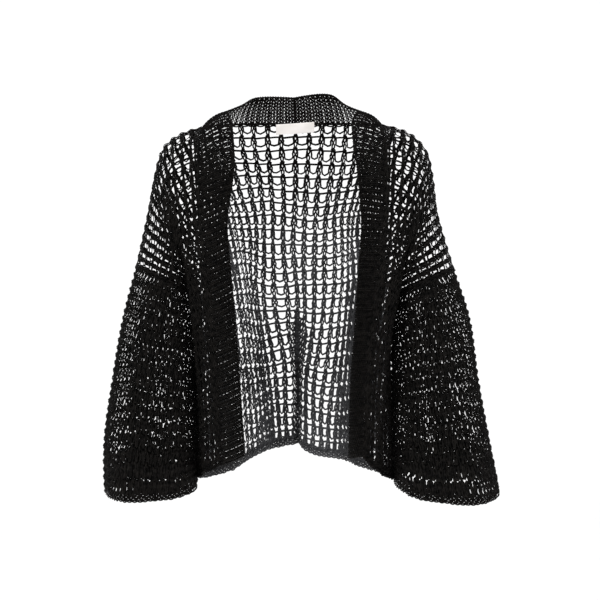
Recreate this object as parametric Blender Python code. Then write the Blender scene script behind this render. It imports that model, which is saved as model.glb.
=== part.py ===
"""Open-front mesh-knit cardigan in its worn, hollow form.

Metres, +Z up. The front faces -Y and the wearer's left is at +X. The origin lies between the
shoulders at the height of the neck seam, where a wearer's neck and shoulders carry the garment.
Every piece is a hollow wall of cloth lofted through the short tables below.
"""
import math
from collections import namedtuple

import bmesh
import bpy
import numpy as np

# Cloth
CLOTH_WALL = 0.003
LABEL_WALL = 0.0006
RIB_RISE = 0.0016
SEAM_GAP = 0.0003

# Knit counts that set the stations
RIBS_PER_FRONT_STATION = (2,) * 10 + (3,) * 13
RIBS_PER_NECK_STATION = (1, 1, 1, 1, 2, 2, 2, 2, 2, 2, 2)
SHOULDER_STATIONS = 11
STATIONS_TO_UNDERARM = 12
SLEEVE_ROWS = 13
HALF_STEPS_PER_RIB = 2

# How the back panel's width is shared between the neck and one shoulder
NECK_SHARE = 0.35
# How fast the rows change from the shoulder line's shape to the hem's
DRAPE_POWER = 1.2
BAND_CROWN = 0.005

# Neck label
LABEL_WIDTH = 0.062
LABEL_DROP = 0.0165
LABEL_COLUMNS = 6
LABEL_ROWS = 3
LABEL_CENTRE_X = 0.0
LABEL_RISE_RIGHT = 0.0010
LABEL_RISE_LEFT = 0.0052

YARN_BLACK = (0.011, 0.010, 0.010, 1.0)
BAND_BLACK = (0.013, 0.012, 0.012, 1.0)
LABEL_CREAM = (0.80, 0.76, 0.70, 1.0)

Strip = namedtuple("Strip", "place seam free")
Ring = namedtuple("Ring", "place centre half_width half_depth outer_rise front_droop")
Fold = namedtuple("Fold", "place across half_width depth start full")
SleeveFold = namedtuple("SleeveFold", "place degrees half_degrees depth start full")

# The band runs from each shoulder down the front edge: seam edge, then free edge
RIGHT_BAND = (
    Strip("shoulder", (-0.1436, 0.000, 0.000), (-0.1035, -0.004, 0.0250)),
    Strip("collarbone", (-0.1440, -0.045, -0.022), (-0.0945, -0.050, -0.004)),
    Strip("upper chest", (-0.1426, -0.082, -0.078), (-0.0911, -0.086, -0.072)),
    Strip("chest", (-0.1384, -0.100, -0.150), (-0.1015, -0.078, -0.147)),
    Strip("bust", (-0.1295, -0.108, -0.225), (-0.0960, -0.078, -0.225)),
    Strip("waist", (-0.1220, -0.109, -0.307), (-0.0890, -0.077, -0.307)),
    Strip("hip", (-0.1160, -0.108, -0.389), (-0.0825, -0.076, -0.389)),
    Strip("hem", (-0.1100, -0.105, -0.513), (-0.0762, -0.074, -0.503)),
)
LEFT_BAND = (
    Strip("shoulder", (0.1343, 0.000, 0.004), (0.0960, -0.004, 0.0260)),
    Strip("collarbone", (0.1350, -0.045, -0.018), (0.0860, -0.050, -0.002)),
    Strip("upper chest", (0.1353, -0.084, -0.080), (0.0935, -0.080, -0.072)),
    Strip("chest", (0.1330, -0.101, -0.150), (0.1003, -0.073, -0.147)),
    Strip("bust", (0.1265, -0.108, -0.225), (0.0955, -0.074, -0.225)),
    Strip("waist", (0.1125, -0.109, -0.307), (0.0905, -0.071, -0.307)),
    Strip("hip", (0.1061, -0.108, -0.389), (0.0845, -0.070, -0.389)),
    Strip("hem", (0.1035, -0.105, -0.503), (0.0815, -0.068, -0.505)),
)
# The collar runs from the centre of the back neck to each shoulder
RIGHT_COLLAR = (
    Strip("centre back", (0.000, 0.090, 0.0133), (-0.002, 0.079, 0.0560)),
    Strip("back", (-0.066, 0.076, 0.0125), (-0.060, 0.064, 0.0545)),
    Strip("neck side", (-0.116, 0.042, 0.0080), (-0.082, 0.030, 0.0390)),
    Strip("shoulder", (-0.1436, 0.000, 0.000), (-0.1035, -0.004, 0.0250)),
)
LEFT_COLLAR = (
    Strip("centre back", (0.000, 0.090, 0.0133), (-0.002, 0.079, 0.0560)),
    Strip("back", (0.062, 0.077, 0.0125), (0.052, 0.066, 0.0600)),
    Strip("neck side", (0.110, 0.042, 0.0090), (0.077, 0.030, 0.0395)),
    Strip("shoulder", (0.1343, 0.000, 0.004), (0.0960, -0.004, 0.0260)),
)

# Shoulder line from the band to the top of the armhole
RIGHT_SHOULDER = (
    (-0.1436, 0.000, 0.000),
    (-0.1780, -0.003, -0.0115),
    (-0.2015, -0.004, -0.0300),
    (-0.2140, -0.004, -0.0650),
    (-0.2275, -0.002, -0.1400),
    (-0.2445, 0.000, -0.2150),
)
LEFT_SHOULDER = (
    (0.1343, 0.000, 0.004),
    (0.1775, -0.003, -0.0105),
    (0.2025, -0.004, -0.0370),
    (0.2110, -0.004, -0.0720),
    (0.2195, -0.002, -0.1350),
    (0.2448, 0.000, -0.2187),
)
# Centre of the back from the neck seam to the hem
CENTRE_BACK = (
    (0.0000, 0.090, 0.0133),
    (0.0000, 0.103, -0.040),
    (0.0000, 0.113, -0.100),
    (0.0010, 0.117, -0.200),
    (0.0030, 0.117, -0.330),
    (0.0045, 0.117, -0.4985),
)
# Side seams from the underarm to the hem
RIGHT_SIDE = (
    (-0.1515, 0.000, -0.2590),
    (-0.1465, 0.004, -0.2850),
    (-0.1455, 0.008, -0.3800),
    (-0.1470, 0.010, -0.5425),
)
LEFT_SIDE = (
    (0.1512, 0.000, -0.2603),
    (0.1465, 0.004, -0.2870),
    (0.1460, 0.008, -0.3800),
    (0.1500, 0.008, -0.5450),
)
# Hems, from the band or the centre back out to the side seam
RIGHT_FRONT_HEM = (
    (-0.1100, -0.105, -0.513),
    (-0.1345, -0.078, -0.527),
    (-0.1465, -0.035, -0.537),
    (-0.1470, 0.010, -0.5425),
)
LEFT_FRONT_HEM = (
    (0.1035, -0.105, -0.503),
    (0.1225, -0.090, -0.523),
    (0.1460, -0.045, -0.538),
    (0.1500, 0.008, -0.545),
)
RIGHT_BACK_HEM = (
    (0.0045, 0.117, -0.4985),
    (-0.0440, 0.113, -0.508),
    (-0.0820, 0.096, -0.528),
    (-0.1200, 0.062, -0.5425),
    (-0.1470, 0.010, -0.5425),
)
LEFT_BACK_HEM = (
    (0.0045, 0.117, -0.4985),
    (0.0250, 0.116, -0.5134),
    (0.0550, 0.108, -0.5203),
    (0.0860, 0.094, -0.5250),
    (0.1200, 0.062, -0.5360),
    (0.1500, 0.008, -0.5450),
)

# Sleeve rings. Outer_rise lifts the outer side over the inner, front_droop lowers the front
RIGHT_SLEEVE = (
    Ring("armhole", (-0.1980, 0.000, -0.2370), 0.0465, 0.085, 0.0220, 0.000),
    Ring("upper arm", (-0.2065, -0.006, -0.3050), 0.0565, 0.083, 0.0190, 0.002),
    Ring("elbow", (-0.2165, -0.018, -0.4000), 0.0640, 0.080, 0.0120, 0.005),
    Ring("forearm", (-0.2232, -0.028, -0.4900), 0.0693, 0.078, 0.0035, 0.008),
    Ring("cuff", (-0.2225, -0.035, -0.5570), 0.0685, 0.078, -0.0030, 0.010),
)
LEFT_SLEEVE = (
    Ring("armhole", (0.1980, 0.000, -0.2395), 0.0468, 0.085, 0.0208, 0.000),
    Ring("upper arm", (0.2085, -0.006, -0.3050), 0.0585, 0.083, 0.0180, 0.003),
    Ring("elbow", (0.2163, -0.018, -0.4000), 0.0652, 0.080, 0.0090, 0.008),
    Ring("forearm", (0.2267, -0.028, -0.4900), 0.0723, 0.078, -0.0010, 0.014),
    Ring("cuff", (0.2335, -0.035, -0.5525), 0.0780, 0.080, -0.0065, 0.018),
)

# Pinched fold at the centre of the back: how far it stands out and how much width it takes up
BACK_FOLD_DEPTH = 0.022
BACK_FOLD_REACH = 0.075
BACK_FOLD_WIDTH = 0.090
BACK_FOLD_TAKEN = 0.052
BACK_FOLD_START = 0.30

# Soft folds of the panels, across from the inner edge (0) to the side (1), growing down the panel
RIGHT_FRONT_FOLDS = (
    Fold("beside the band", 0.26, 0.13, 0.0060, 0.45, 0.95),
    Fold("hollow", 0.50, 0.13, -0.0055, 0.35, 0.85),
    Fold("towards the side", 0.72, 0.12, 0.0045, 0.55, 1.00),
    Fold("shoulder hollow", 0.66, 0.15, -0.0050, 0.06, 0.22),
)
LEFT_FRONT_FOLDS = (
    Fold("beside the band", 0.22, 0.12, 0.0050, 0.50, 0.90),
    Fold("hollow", 0.44, 0.14, -0.0060, 0.40, 0.80),
    Fold("towards the side", 0.70, 0.13, 0.0050, 0.50, 1.00),
    Fold("shoulder hollow", 0.60, 0.16, -0.0040, 0.05, 0.25),
)
RIGHT_BACK_FOLDS = (
    Fold("inner ridge", 0.42, 0.11, 0.0060, 0.35, 0.90),
    Fold("hollow", 0.60, 0.10, -0.0060, 0.30, 0.80),
    Fold("outer ridge", 0.79, 0.10, 0.0050, 0.40, 1.00),
)
LEFT_BACK_FOLDS = (
    Fold("inner ridge", 0.38, 0.10, 0.0050, 0.40, 0.95),
    Fold("hollow", 0.57, 0.11, -0.0065, 0.30, 0.85),
    Fold("outer ridge", 0.78, 0.11, 0.0055, 0.35, 0.90),
)
# Soft folds of the sleeves, round from the outer side (0) by the front (90) to the inner (180)
RIGHT_SLEEVE_FOLDS = (
    SleeveFold("front ridge", 62.0, 26.0, 0.0050, 0.15, 0.80),
    SleeveFold("front hollow", 104.0, 24.0, -0.0070, 0.10, 0.70),
    SleeveFold("outer hollow", 18.0, 24.0, -0.0035, 0.20, 0.75),
    SleeveFold("back ridge", 236.0, 28.0, 0.0050, 0.20, 0.85),
    SleeveFold("back hollow", 288.0, 26.0, -0.0060, 0.15, 0.80),
)
LEFT_SLEEVE_FOLDS = (
    SleeveFold("front ridge", 58.0, 24.0, 0.0045, 0.20, 0.75),
    SleeveFold("front hollow", 98.0, 24.0, -0.0075, 0.10, 0.75),
    SleeveFold("inner ridge", 132.0, 22.0, 0.0040, 0.30, 0.90),
    SleeveFold("back hollow", 248.0, 28.0, -0.0060, 0.15, 0.80),
    SleeveFold("back ridge", 300.0, 26.0, 0.0050, 0.20, 0.85),
)

Side = namedtuple(
    "Side",
    "name sign band collar shoulder side_seam front_hem back_hem sleeve"
    " front_folds back_folds sleeve_folds",
)
RIGHT = Side(
    "right", -1.0, RIGHT_BAND, RIGHT_COLLAR, RIGHT_SHOULDER, RIGHT_SIDE, RIGHT_FRONT_HEM,
    RIGHT_BACK_HEM, RIGHT_SLEEVE, RIGHT_FRONT_FOLDS, RIGHT_BACK_FOLDS, RIGHT_SLEEVE_FOLDS,
)
LEFT = Side(
    "left", 1.0, LEFT_BAND, LEFT_COLLAR, LEFT_SHOULDER, LEFT_SIDE, LEFT_FRONT_HEM,
    LEFT_BACK_HEM, LEFT_SLEEVE, LEFT_FRONT_FOLDS, LEFT_BACK_FOLDS, LEFT_SLEEVE_FOLDS,
)


def stations(counts):
    """Cumulative shares of a run of counts, from 0 to 1."""
    return np.concatenate([[0.0], np.cumsum(counts)]) / float(sum(counts))


PANEL_ROWS = stations(RIBS_PER_FRONT_STATION)
UNDERARM = float(PANEL_ROWS[STATIONS_TO_UNDERARM])
NECK_COLUMNS = stations(RIBS_PER_NECK_STATION) * NECK_SHARE
SHOULDER_COLUMNS = np.linspace(0.0, 1.0, SHOULDER_STATIONS + 1)


def ease(x):
    """Smooth step from 0 to 1."""
    x = np.clip(x, 0.0, 1.0)
    return x * x * (3.0 - 2.0 * x)


def bump(x):
    """Smooth hump of height 1 over -1 to 1."""
    return np.cos(np.clip(x, -1.0, 1.0) * math.pi / 2.0) ** 2


def unit(v):
    return v / np.maximum(np.linalg.norm(v, axis=-1, keepdims=True), 1e-12)


def spline(points, at):
    """Smooth curve through the points, read at fractions of its length."""
    p = np.asarray(points, dtype=float)
    chord = np.linalg.norm(np.diff(p, axis=0), axis=1)
    s = np.concatenate([[0.0], np.cumsum(chord)])
    slope = np.empty_like(p)
    slope[1:-1] = (p[2:] - p[:-2]) / (s[2:] - s[:-2])[:, None]
    slope[0] = 1.5 * (p[1] - p[0]) / chord[0] - 0.5 * slope[1]
    slope[-1] = 1.5 * (p[-1] - p[-2]) / chord[-1] - 0.5 * slope[-2]
    x = np.clip(np.asarray(at, dtype=float), 0.0, 1.0) * s[-1]
    k = np.clip(np.searchsorted(s, x, side="right") - 1, 0, len(chord) - 1)
    t = ((x - s[k]) / chord[k])[..., None]
    h = chord[k][..., None]
    return (
        (2 * t**3 - 3 * t**2 + 1) * p[k]
        + (t**3 - 2 * t**2 + t) * h * slope[k]
        + (3 * t**2 - 2 * t**3) * p[k + 1]
        + (t**3 - t**2) * h * slope[k + 1]
    )


def ring_point(ring, angle):
    """Point of a sleeve ring: angle 0 is its outer side, a quarter turn its front."""
    centre, half_width, half_depth, outer_rise, front_droop, sign = ring
    cos, sin = np.cos(angle), np.sin(angle)
    return np.stack(
        [
            centre[..., 0] + sign * half_width * cos,
            centre[..., 1] - half_depth * sin,
            centre[..., 2] + outer_rise * cos - front_droop * sin,
        ],
        axis=-1,
    )


def sleeve_ring(side, down):
    """The sleeve's ring values at a share of its length down from the armhole."""
    rows = np.array(
        [
            (*r.centre, r.half_width, r.half_depth, r.outer_rise, r.front_droop)
            for r in side.sleeve
        ]
    )
    depth = (rows[:, 2] - rows[0, 2]) / (rows[-1, 2] - rows[0, 2])
    flat = np.asarray(down, dtype=float)
    columns = [smooth_column(depth, rows[:, i], flat) for i in range(rows.shape[1])]
    centre = np.stack(columns[:3], axis=-1)
    return (centre, *columns[3:], side.sign)


def smooth_column(at, values, x):
    """One column of a table, read smoothly between its rows."""
    slope = np.gradient(values, at)
    x = np.clip(x, 0.0, 1.0)
    k = np.clip(np.searchsorted(at, x, side="right") - 1, 0, len(at) - 2)
    h = at[k + 1] - at[k]
    t = (x - at[k]) / h
    return (
        (2 * t**3 - 3 * t**2 + 1) * values[k]
        + (t**3 - 2 * t**2 + t) * h * slope[k]
        + (3 * t**2 - 2 * t**3) * values[k + 1]
        + (t**3 - t**2) * h * slope[k + 1]
    )


def armhole(side, angle):
    """The seam between the panels and the sleeve."""
    return ring_point(sleeve_ring(side, np.zeros_like(angle)), angle)


def patch(top, bottom, inner, outer, u, v):
    """Surface between four edges that meet at the corners: u runs across, v runs down."""
    f = ((1.0 - v) ** DRAPE_POWER)[..., None]
    h = ease(u)[..., None]
    zero, one = np.zeros_like(u), np.ones_like(u)
    a = inner(v) - f * inner(zero) - (1 - f) * inner(one)
    b = outer(v) - f * outer(zero) - (1 - f) * outer(one)
    return f * top(u) + (1 - f) * bottom(u) + (1 - h) * a + h * b


def side_edge(side, v, turn):
    """Armhole half and side seam as one edge. Turn is +1 round the front, -1 round the back."""
    along = np.clip(v / UNDERARM, 0.0, 1.0)
    ring = armhole(side, turn * math.pi * along)
    below = spline(side.side_seam, (v - UNDERARM) / (1.0 - UNDERARM))
    return np.where((v <= UNDERARM)[..., None], ring, below)


def front_base(side, u, v):
    return patch(
        lambda a: spline(side.shoulder, a),
        lambda a: spline(side.front_hem, a),
        lambda a: spline([row.seam for row in side.band], a),
        lambda a: side_edge(side, a, 1.0),
        u,
        v,
    )


def back_top(side, u):
    neck = spline([row.seam for row in side.collar], u / NECK_SHARE)
    shoulder = spline(side.shoulder, (u - NECK_SHARE) / (1.0 - NECK_SHARE))
    return np.where((u <= NECK_SHARE)[..., None], neck, shoulder)


def back_base(side, u, v):
    """Half of the back. Towards the hem the centre fold takes up some of its width."""
    taken = BACK_FOLD_TAKEN * ease((v - BACK_FOLD_START) / (1.0 - BACK_FOLD_START))
    left = 1.0 - taken * math.tanh(1.0 / BACK_FOLD_WIDTH)
    spread = (u - taken * np.tanh(u / BACK_FOLD_WIDTH)) / left
    return patch(
        lambda a: back_top(side, a),
        lambda a: spline(side.back_hem, a),
        lambda a: spline(CENTRE_BACK, a),
        lambda a: side_edge(side, a, -1.0),
        spread,
        v,
    )


def sleeve_base(side, angle, down):
    return ring_point(sleeve_ring(side, down), angle)


def slope_normal(surface, u, v, outward):
    """Outward normal of a surface from small steps either way."""
    step = 1e-3
    du = surface(u + step, v) - surface(u - step, v)
    dv = surface(u, np.clip(v + step, 0, 1)) - surface(u, np.clip(v - step, 0, 1))
    return outward * unit(np.cross(du, dv))


def clamped_normal(surface, u, v, outward):
    """The same for a panel, whose width also ends at 0 and 1."""
    step = 1e-3
    du = surface(np.clip(u + step, 0, 1), v) - surface(np.clip(u - step, 0, 1), v)
    dv = surface(u, np.clip(v + step, 0, 1)) - surface(u, np.clip(v - step, 0, 1))
    return outward * unit(np.cross(du, dv))


def panel_push(folds, u, v):
    """How far the soft folds move a panel outwards. They vanish at its seams."""
    at_seams = bump(2.0 * u - 1.0) ** 0.5
    push = np.zeros_like(u)
    for f in folds:
        grow = ease((v - f.start) / (f.full - f.start))
        fade = 1.0 if f.full > 0.4 else 1.0 - ease((v - f.full) / 0.3)
        push += f.depth * grow * fade * bump((u - f.across) / f.half_width)
    return push * at_seams


def front_point(side, u, v):
    normal = clamped_normal(lambda a, b: front_base(side, a, b), u, v, -side.sign)
    return front_base(side, u, v) + normal * panel_push(side.front_folds, u, v)[..., None]


def back_point(side, u, v):
    normal = clamped_normal(lambda a, b: back_base(side, a, b), u, v, side.sign)
    grow = ease((v - BACK_FOLD_START) / (1.0 - BACK_FOLD_START))
    ridge = BACK_FOLD_DEPTH * grow * bump(u / BACK_FOLD_REACH)
    push = normal * panel_push(side.back_folds, u, v)[..., None]
    return back_base(side, u, v) + push + ridge[..., None] * np.array((0.0, 1.0, 0.0))


def sleeve_point(side, angle, down):
    centre = sleeve_ring(side, down)[0]
    base = sleeve_base(side, angle, down)
    away = unit((base - centre) * np.array((1.0, 1.0, 0.0)))
    degrees = np.degrees(angle)
    push = np.zeros_like(down)
    for f in side.sleeve_folds:
        turn = (degrees - f.degrees + 180.0) % 360.0 - 180.0
        push += f.depth * ease((down - f.start) / (f.full - f.start)) * bump(turn / f.half_degrees)
    return base + away * push[..., None]


def front_normal(side, u, v):
    return clamped_normal(lambda a, b: front_point(side, a, b), u, v, -side.sign)


def back_normal(side, u, v):
    return clamped_normal(lambda a, b: back_point(side, a, b), u, v, side.sign)


def sleeve_normal(side, angle, down):
    return slope_normal(lambda a, b: sleeve_point(side, a, b), angle, down, side.sign)


def strip_point(rows, along, across, crown_sign):
    """Band or collar: across runs from its seam edge (0) to its free edge (1)."""
    seam = spline([row.seam for row in rows], along)
    free = spline([row.free for row in rows], along)
    flat = seam + (free - seam) * across[..., None]
    normal = strip_normal(rows, along, crown_sign)
    return flat + normal * crown(across)[..., None]


def strip_normal(rows, along, outward):
    step = 1e-3
    seam, free = [row.seam for row in rows], [row.free for row in rows]
    ahead, behind = np.clip(along + step, 0, 1), np.clip(along - step, 0, 1)
    run = spline(seam, ahead) + spline(free, ahead) - spline(seam, behind) - spline(free, behind)
    return outward * unit(np.cross(run, spline(free, along) - spline(seam, along)))


def band_outward(side):
    return -side.sign


def collar_outward(side):
    return -side.sign


def seam_frame(points, normal):
    """Direction across a seam, in the cloth: the seam's run crossed with its normal."""
    run = unit(np.gradient(points, axis=0))
    return unit(np.cross(run, normal))


def shoulder_seam(side):
    """Points, shared normals and forward directions of the shoulder seam."""
    w = SHOULDER_COLUMNS
    top = np.zeros_like(w)
    points = spline(side.shoulder, w)
    back_u = NECK_SHARE + (1.0 - NECK_SHARE) * w
    normal = unit(front_normal(side, w, top) + back_normal(side, back_u, top))
    return points, normal, seam_frame(points, normal) * side.sign


def armhole_seam(side, turn):
    """The armhole's front (+1) or back (-1) half, with directions towards the sleeve."""
    v = PANEL_ROWS[: STATIONS_TO_UNDERARM + 1]
    angle = turn * math.pi * v / UNDERARM
    points = armhole(side, angle)
    ones = np.ones_like(v)
    panel = front_normal(side, ones, v) if turn > 0 else back_normal(side, ones, v)
    sleeve = sleeve_normal(side, angle, np.zeros_like(v))
    down = np.array((0.0, 0.0, -1.0)) * ((1.0 - np.cos(angle)) / 2.0)[:, None]
    normal = unit(panel + sleeve + down)
    normal[-1] = (0.0, 0.0, -1.0)
    normal[0] = unit(sleeve[0])
    across = seam_frame(points, normal) * turn * side.sign * -1.0
    return points, normal, across


def side_seam(side):
    """The side seam below the underarm, with directions towards the front."""
    v = PANEL_ROWS[STATIONS_TO_UNDERARM:]
    ones = np.ones_like(v)
    points = side_edge(side, v, 1.0)
    normal = unit(front_normal(side, ones, v) + back_normal(side, ones, v))
    normal[0] = (0.0, 0.0, -1.0)
    return points, normal, np.array((0.0, -1.0, 0.0)) * np.ones((len(v), 1))


def band_seam(side):
    """The seam between band and front panel, with directions towards the band."""
    v = PANEL_ROWS
    points = spline([row.seam for row in side.band], v)
    panel = front_normal(side, np.zeros_like(v), v)
    normal = unit(panel + strip_normal(side.band, v, band_outward(side)))
    return points, normal, seam_frame(points, normal) * side.sign


def collar_seam(side):
    """The seam between collar and back, with directions towards the collar."""
    u = NECK_COLUMNS
    points = spline([row.seam for row in side.collar], u / NECK_SHARE)
    panel = back_normal(side, u, np.zeros_like(u))
    normal = unit(panel + strip_normal(side.collar, u / NECK_SHARE, collar_outward(side)))
    return points, normal, seam_frame(points, normal) * side.sign


def neck_corner(side):
    """The one normal shared by every piece where band, collar and shoulder seam meet."""
    return unit(band_seam(side)[1][0] + collar_seam(side)[1][-1] + shoulder_seam(side)[1][0])


def seat(grid, normals, index, direction, normal):
    """Draws an edge back from its seam by half the gap and gives it the seam's normal."""
    grid[index] += direction * SEAM_GAP / 2.0
    normals[index] = normal


def grid_of(columns, rows):
    return np.meshgrid(columns, rows, indexing="ij")


def front_wall(side):
    u, v = grid_of(SHOULDER_COLUMNS, PANEL_ROWS)
    points, normals = front_point(side, u, v), front_normal(side, u, v)
    _, n, ahead = shoulder_seam(side)
    seat(points, normals, np.s_[:, 0], ahead, n)
    _, n, to_front = side_seam(side)
    seat(points, normals, np.s_[-1, STATIONS_TO_UNDERARM:], to_front, n)
    _, n, to_sleeve = armhole_seam(side, 1.0)
    seat(points, normals, np.s_[-1, : STATIONS_TO_UNDERARM + 1], -to_sleeve, n)
    _, n, to_band = band_seam(side)
    seat(points, normals, np.s_[0, :], -to_band, n)
    normals[0, 0] = neck_corner(side)
    return points, normals


def half_back_wall(side):
    columns = np.concatenate(
        [NECK_COLUMNS, NECK_SHARE + (1.0 - NECK_SHARE) * SHOULDER_COLUMNS[1:]]
    )
    neck = len(NECK_COLUMNS)
    u, v = grid_of(columns, PANEL_ROWS)
    points, normals = back_point(side, u, v), back_normal(side, u, v)
    _, n, ahead = shoulder_seam(side)
    seat(points, normals, np.s_[neck - 1 :, 0], -ahead, n)
    _, n, to_front = side_seam(side)
    seat(points, normals, np.s_[-1, STATIONS_TO_UNDERARM:], -to_front, n)
    _, n, to_sleeve = armhole_seam(side, -1.0)
    seat(points, normals, np.s_[-1, : STATIONS_TO_UNDERARM + 1], -to_sleeve, n)
    _, n, to_collar = collar_seam(side)
    seat(points, normals, np.s_[:neck, 0], -to_collar, n)
    normals[neck - 1, 0] = neck_corner(side)
    return points, normals


def back_wall():
    """Both halves of the back, which share the centre column."""
    right, right_normals = half_back_wall(RIGHT)
    left, left_normals = half_back_wall(LEFT)
    middle = unit(right_normals[0] + left_normals[0])
    centre = (right[0] + left[0]) / 2.0
    points = np.concatenate([right[:0:-1], centre[None], left[1:]])
    normals = np.concatenate([right_normals[:0:-1], middle[None], left_normals[1:]])
    return points, normals


def sleeve_wall(side):
    """The sleeve's tube. Its first ring has the armhole's stations, front half then back."""
    quarter = math.pi * PANEL_ROWS[: STATIONS_TO_UNDERARM + 1] / UNDERARM
    angles = np.concatenate([quarter, 2.0 * math.pi - quarter[-2:0:-1]])
    angle, down = grid_of(angles, np.linspace(0.0, 1.0, SLEEVE_ROWS + 1))
    points, normals = sleeve_point(side, angle, down), sleeve_normal(side, angle, down)
    _, front, to_sleeve = armhole_seam(side, 1.0)
    last = STATIONS_TO_UNDERARM
    seat(points, normals, np.s_[: last + 1, 0], to_sleeve, front)
    _, back, to_sleeve = armhole_seam(side, -1.0)
    seat(points, normals, np.s_[last + 1 :, 0], to_sleeve[-2:0:-1], back[-2:0:-1])
    return points, normals


def crown(across):
    """How far the strip's middle stands proud of its edges."""
    return BAND_CROWN * 4.0 * across * (1.0 - across)


def strip_joint(side, across):
    """Points, normals and the forward direction where band and collar meet on the shoulder."""
    seam, free = np.array(side.band[0].seam), np.array(side.band[0].free)
    start, end = np.array(0.0), np.array(1.0)
    normal = unit(
        strip_normal(side.band, start, band_outward(side))
        + strip_normal(side.collar, end, collar_outward(side))
    )
    points = seam + (free - seam) * across[:, None] + normal * crown(across)[:, None]
    normals = np.repeat(normal[None], len(across), axis=0)
    normals[0] = neck_corner(side)
    return points, normals, unit(np.cross(free - seam, normal)) * -side.sign


def ribbed_strip(side, rows, along, counts, outward, seam, joint):
    """Band or collar with its cross ribs, between the stations that its panel shares."""
    across = np.array((0.0, 0.5, 1.0))
    s, t = grid_of(along, across)
    points = strip_point(rows, s, t, outward)
    normals = np.repeat(strip_normal(rows, along, outward)[:, None], len(across), axis=1)
    joint_points, joint_normals, forward = strip_joint(side, across)
    points[joint] = joint_points + forward * (SEAM_GAP / 2.0 if joint == 0 else -SEAM_GAP / 2.0)
    _, n, to_strip = seam
    seat(points, normals, np.s_[:, 0], to_strip, n)
    normals[joint] = joint_normals
    return finer_strip(points, normals, counts)


def finer_strip(points, normals, counts):
    """Half a rib to each station, straight between the shared ones, and each rib's rise."""
    new_points, new_normals, rise = [points[0]], [normals[0]], [0.0]
    for k, ribs in enumerate(counts):
        for step in range(1, ribs * HALF_STEPS_PER_RIB + 1):
            share = step / (ribs * HALF_STEPS_PER_RIB)
            new_points.append(points[k] + (points[k + 1] - points[k]) * share)
            new_normals.append(unit(normals[k] + (normals[k + 1] - normals[k]) * share))
            rise.append(RIB_RISE * (step % HALF_STEPS_PER_RIB))
    return np.array(new_points), np.array(new_normals), np.array(rise)


def band_wall(side):
    outward = band_outward(side)
    return ribbed_strip(
        side, side.band, PANEL_ROWS, RIBS_PER_FRONT_STATION, outward, band_seam(side), 0
    )


def half_collar_wall(side):
    outward = collar_outward(side)
    along = NECK_COLUMNS / NECK_SHARE
    return ribbed_strip(
        side, side.collar, along, RIBS_PER_NECK_STATION, outward, collar_seam(side), -1
    )


def collar_wall():
    """Both halves of the collar, which share the centre back station."""
    right, right_normals, right_rise = half_collar_wall(RIGHT)
    left, left_normals, left_rise = half_collar_wall(LEFT)
    centre = (right[:1] + left[:1]) / 2.0
    middle = unit(right_normals[:1] + left_normals[:1])
    points = np.concatenate([right[:0:-1], centre, left[1:]])
    normals = np.concatenate([right_normals[:0:-1], middle, left_normals[1:]])
    return points, normals, np.concatenate([right_rise[:0:-1], left_rise])


def seam_share(side, x):
    """Share of the collar seam, from the centre back, at a distance out from it."""
    share = np.linspace(0.0, 1.0, 200)
    out = np.abs(spline([row.seam for row in side.collar], share)[:, 0])
    return np.interp(abs(x), out, share)


def label_wall():
    """The label hangs from the neck seam inside, on points of the cloth moved inwards."""
    lift = CLOTH_WALL / 2.0 + SEAM_GAP * 2.0 + LABEL_WALL / 2.0
    points = np.zeros((LABEL_COLUMNS + 1, LABEL_ROWS + 1, 3))
    for i in range(LABEL_COLUMNS + 1):
        s = i / LABEL_COLUMNS
        x = LABEL_CENTRE_X + (s - 0.5) * LABEL_WIDTH
        side = RIGHT if x < 0 else LEFT
        share = np.array(seam_share(side, x))
        base = spline([row.seam for row in side.collar], share)
        inward = -back_normal(side, share * NECK_SHARE, np.array(0.0))
        rise = LABEL_RISE_RIGHT + (LABEL_RISE_LEFT - LABEL_RISE_RIGHT) * s
        for j in range(LABEL_ROWS + 1):
            height = rise - LABEL_DROP * j / LABEL_ROWS
            points[i, j] = base + inward * lift + height * np.array((0.0, -0.12, 1.0))
    run = np.gradient(points, axis=0)
    fall = np.gradient(points, axis=1)
    return points, unit(np.cross(fall, run))


def material(name, colour, roughness):
    made = bpy.data.materials.new(name)
    made.use_nodes = True
    shader = made.node_tree.nodes["Principled BSDF"]
    shader.inputs["Base Color"].default_value = colour
    shader.inputs["Roughness"].default_value = roughness
    shader.inputs["Metallic"].default_value = 0.0
    return made


def wall_faces(columns, rows, ring):
    """Faces of a closed wall: outer skin, inner skin and the rims along its open edges."""
    count = columns * rows
    last = columns if ring else columns - 1

    def at(i, j, inner):
        return (i % columns) * rows + j + (count if inner else 0)

    faces = []
    for i in range(last):
        for j in range(rows - 1):
            corners = ((i, j), (i + 1, j), (i + 1, j + 1), (i, j + 1))
            faces.append([at(a, b, False) for a, b in corners])
            faces.append([at(a, b, True) for a, b in reversed(corners)])
        for j in (0, rows - 1):
            faces.append([at(i, j, False), at(i, j, True), at(i + 1, j, True), at(i + 1, j, False)])
    if not ring:
        for i in (0, columns - 1):
            for j in range(rows - 1):
                faces.append(
                    [at(i, j, False), at(i, j + 1, False), at(i, j + 1, True), at(i, j, True)]
                )
    return faces


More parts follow.
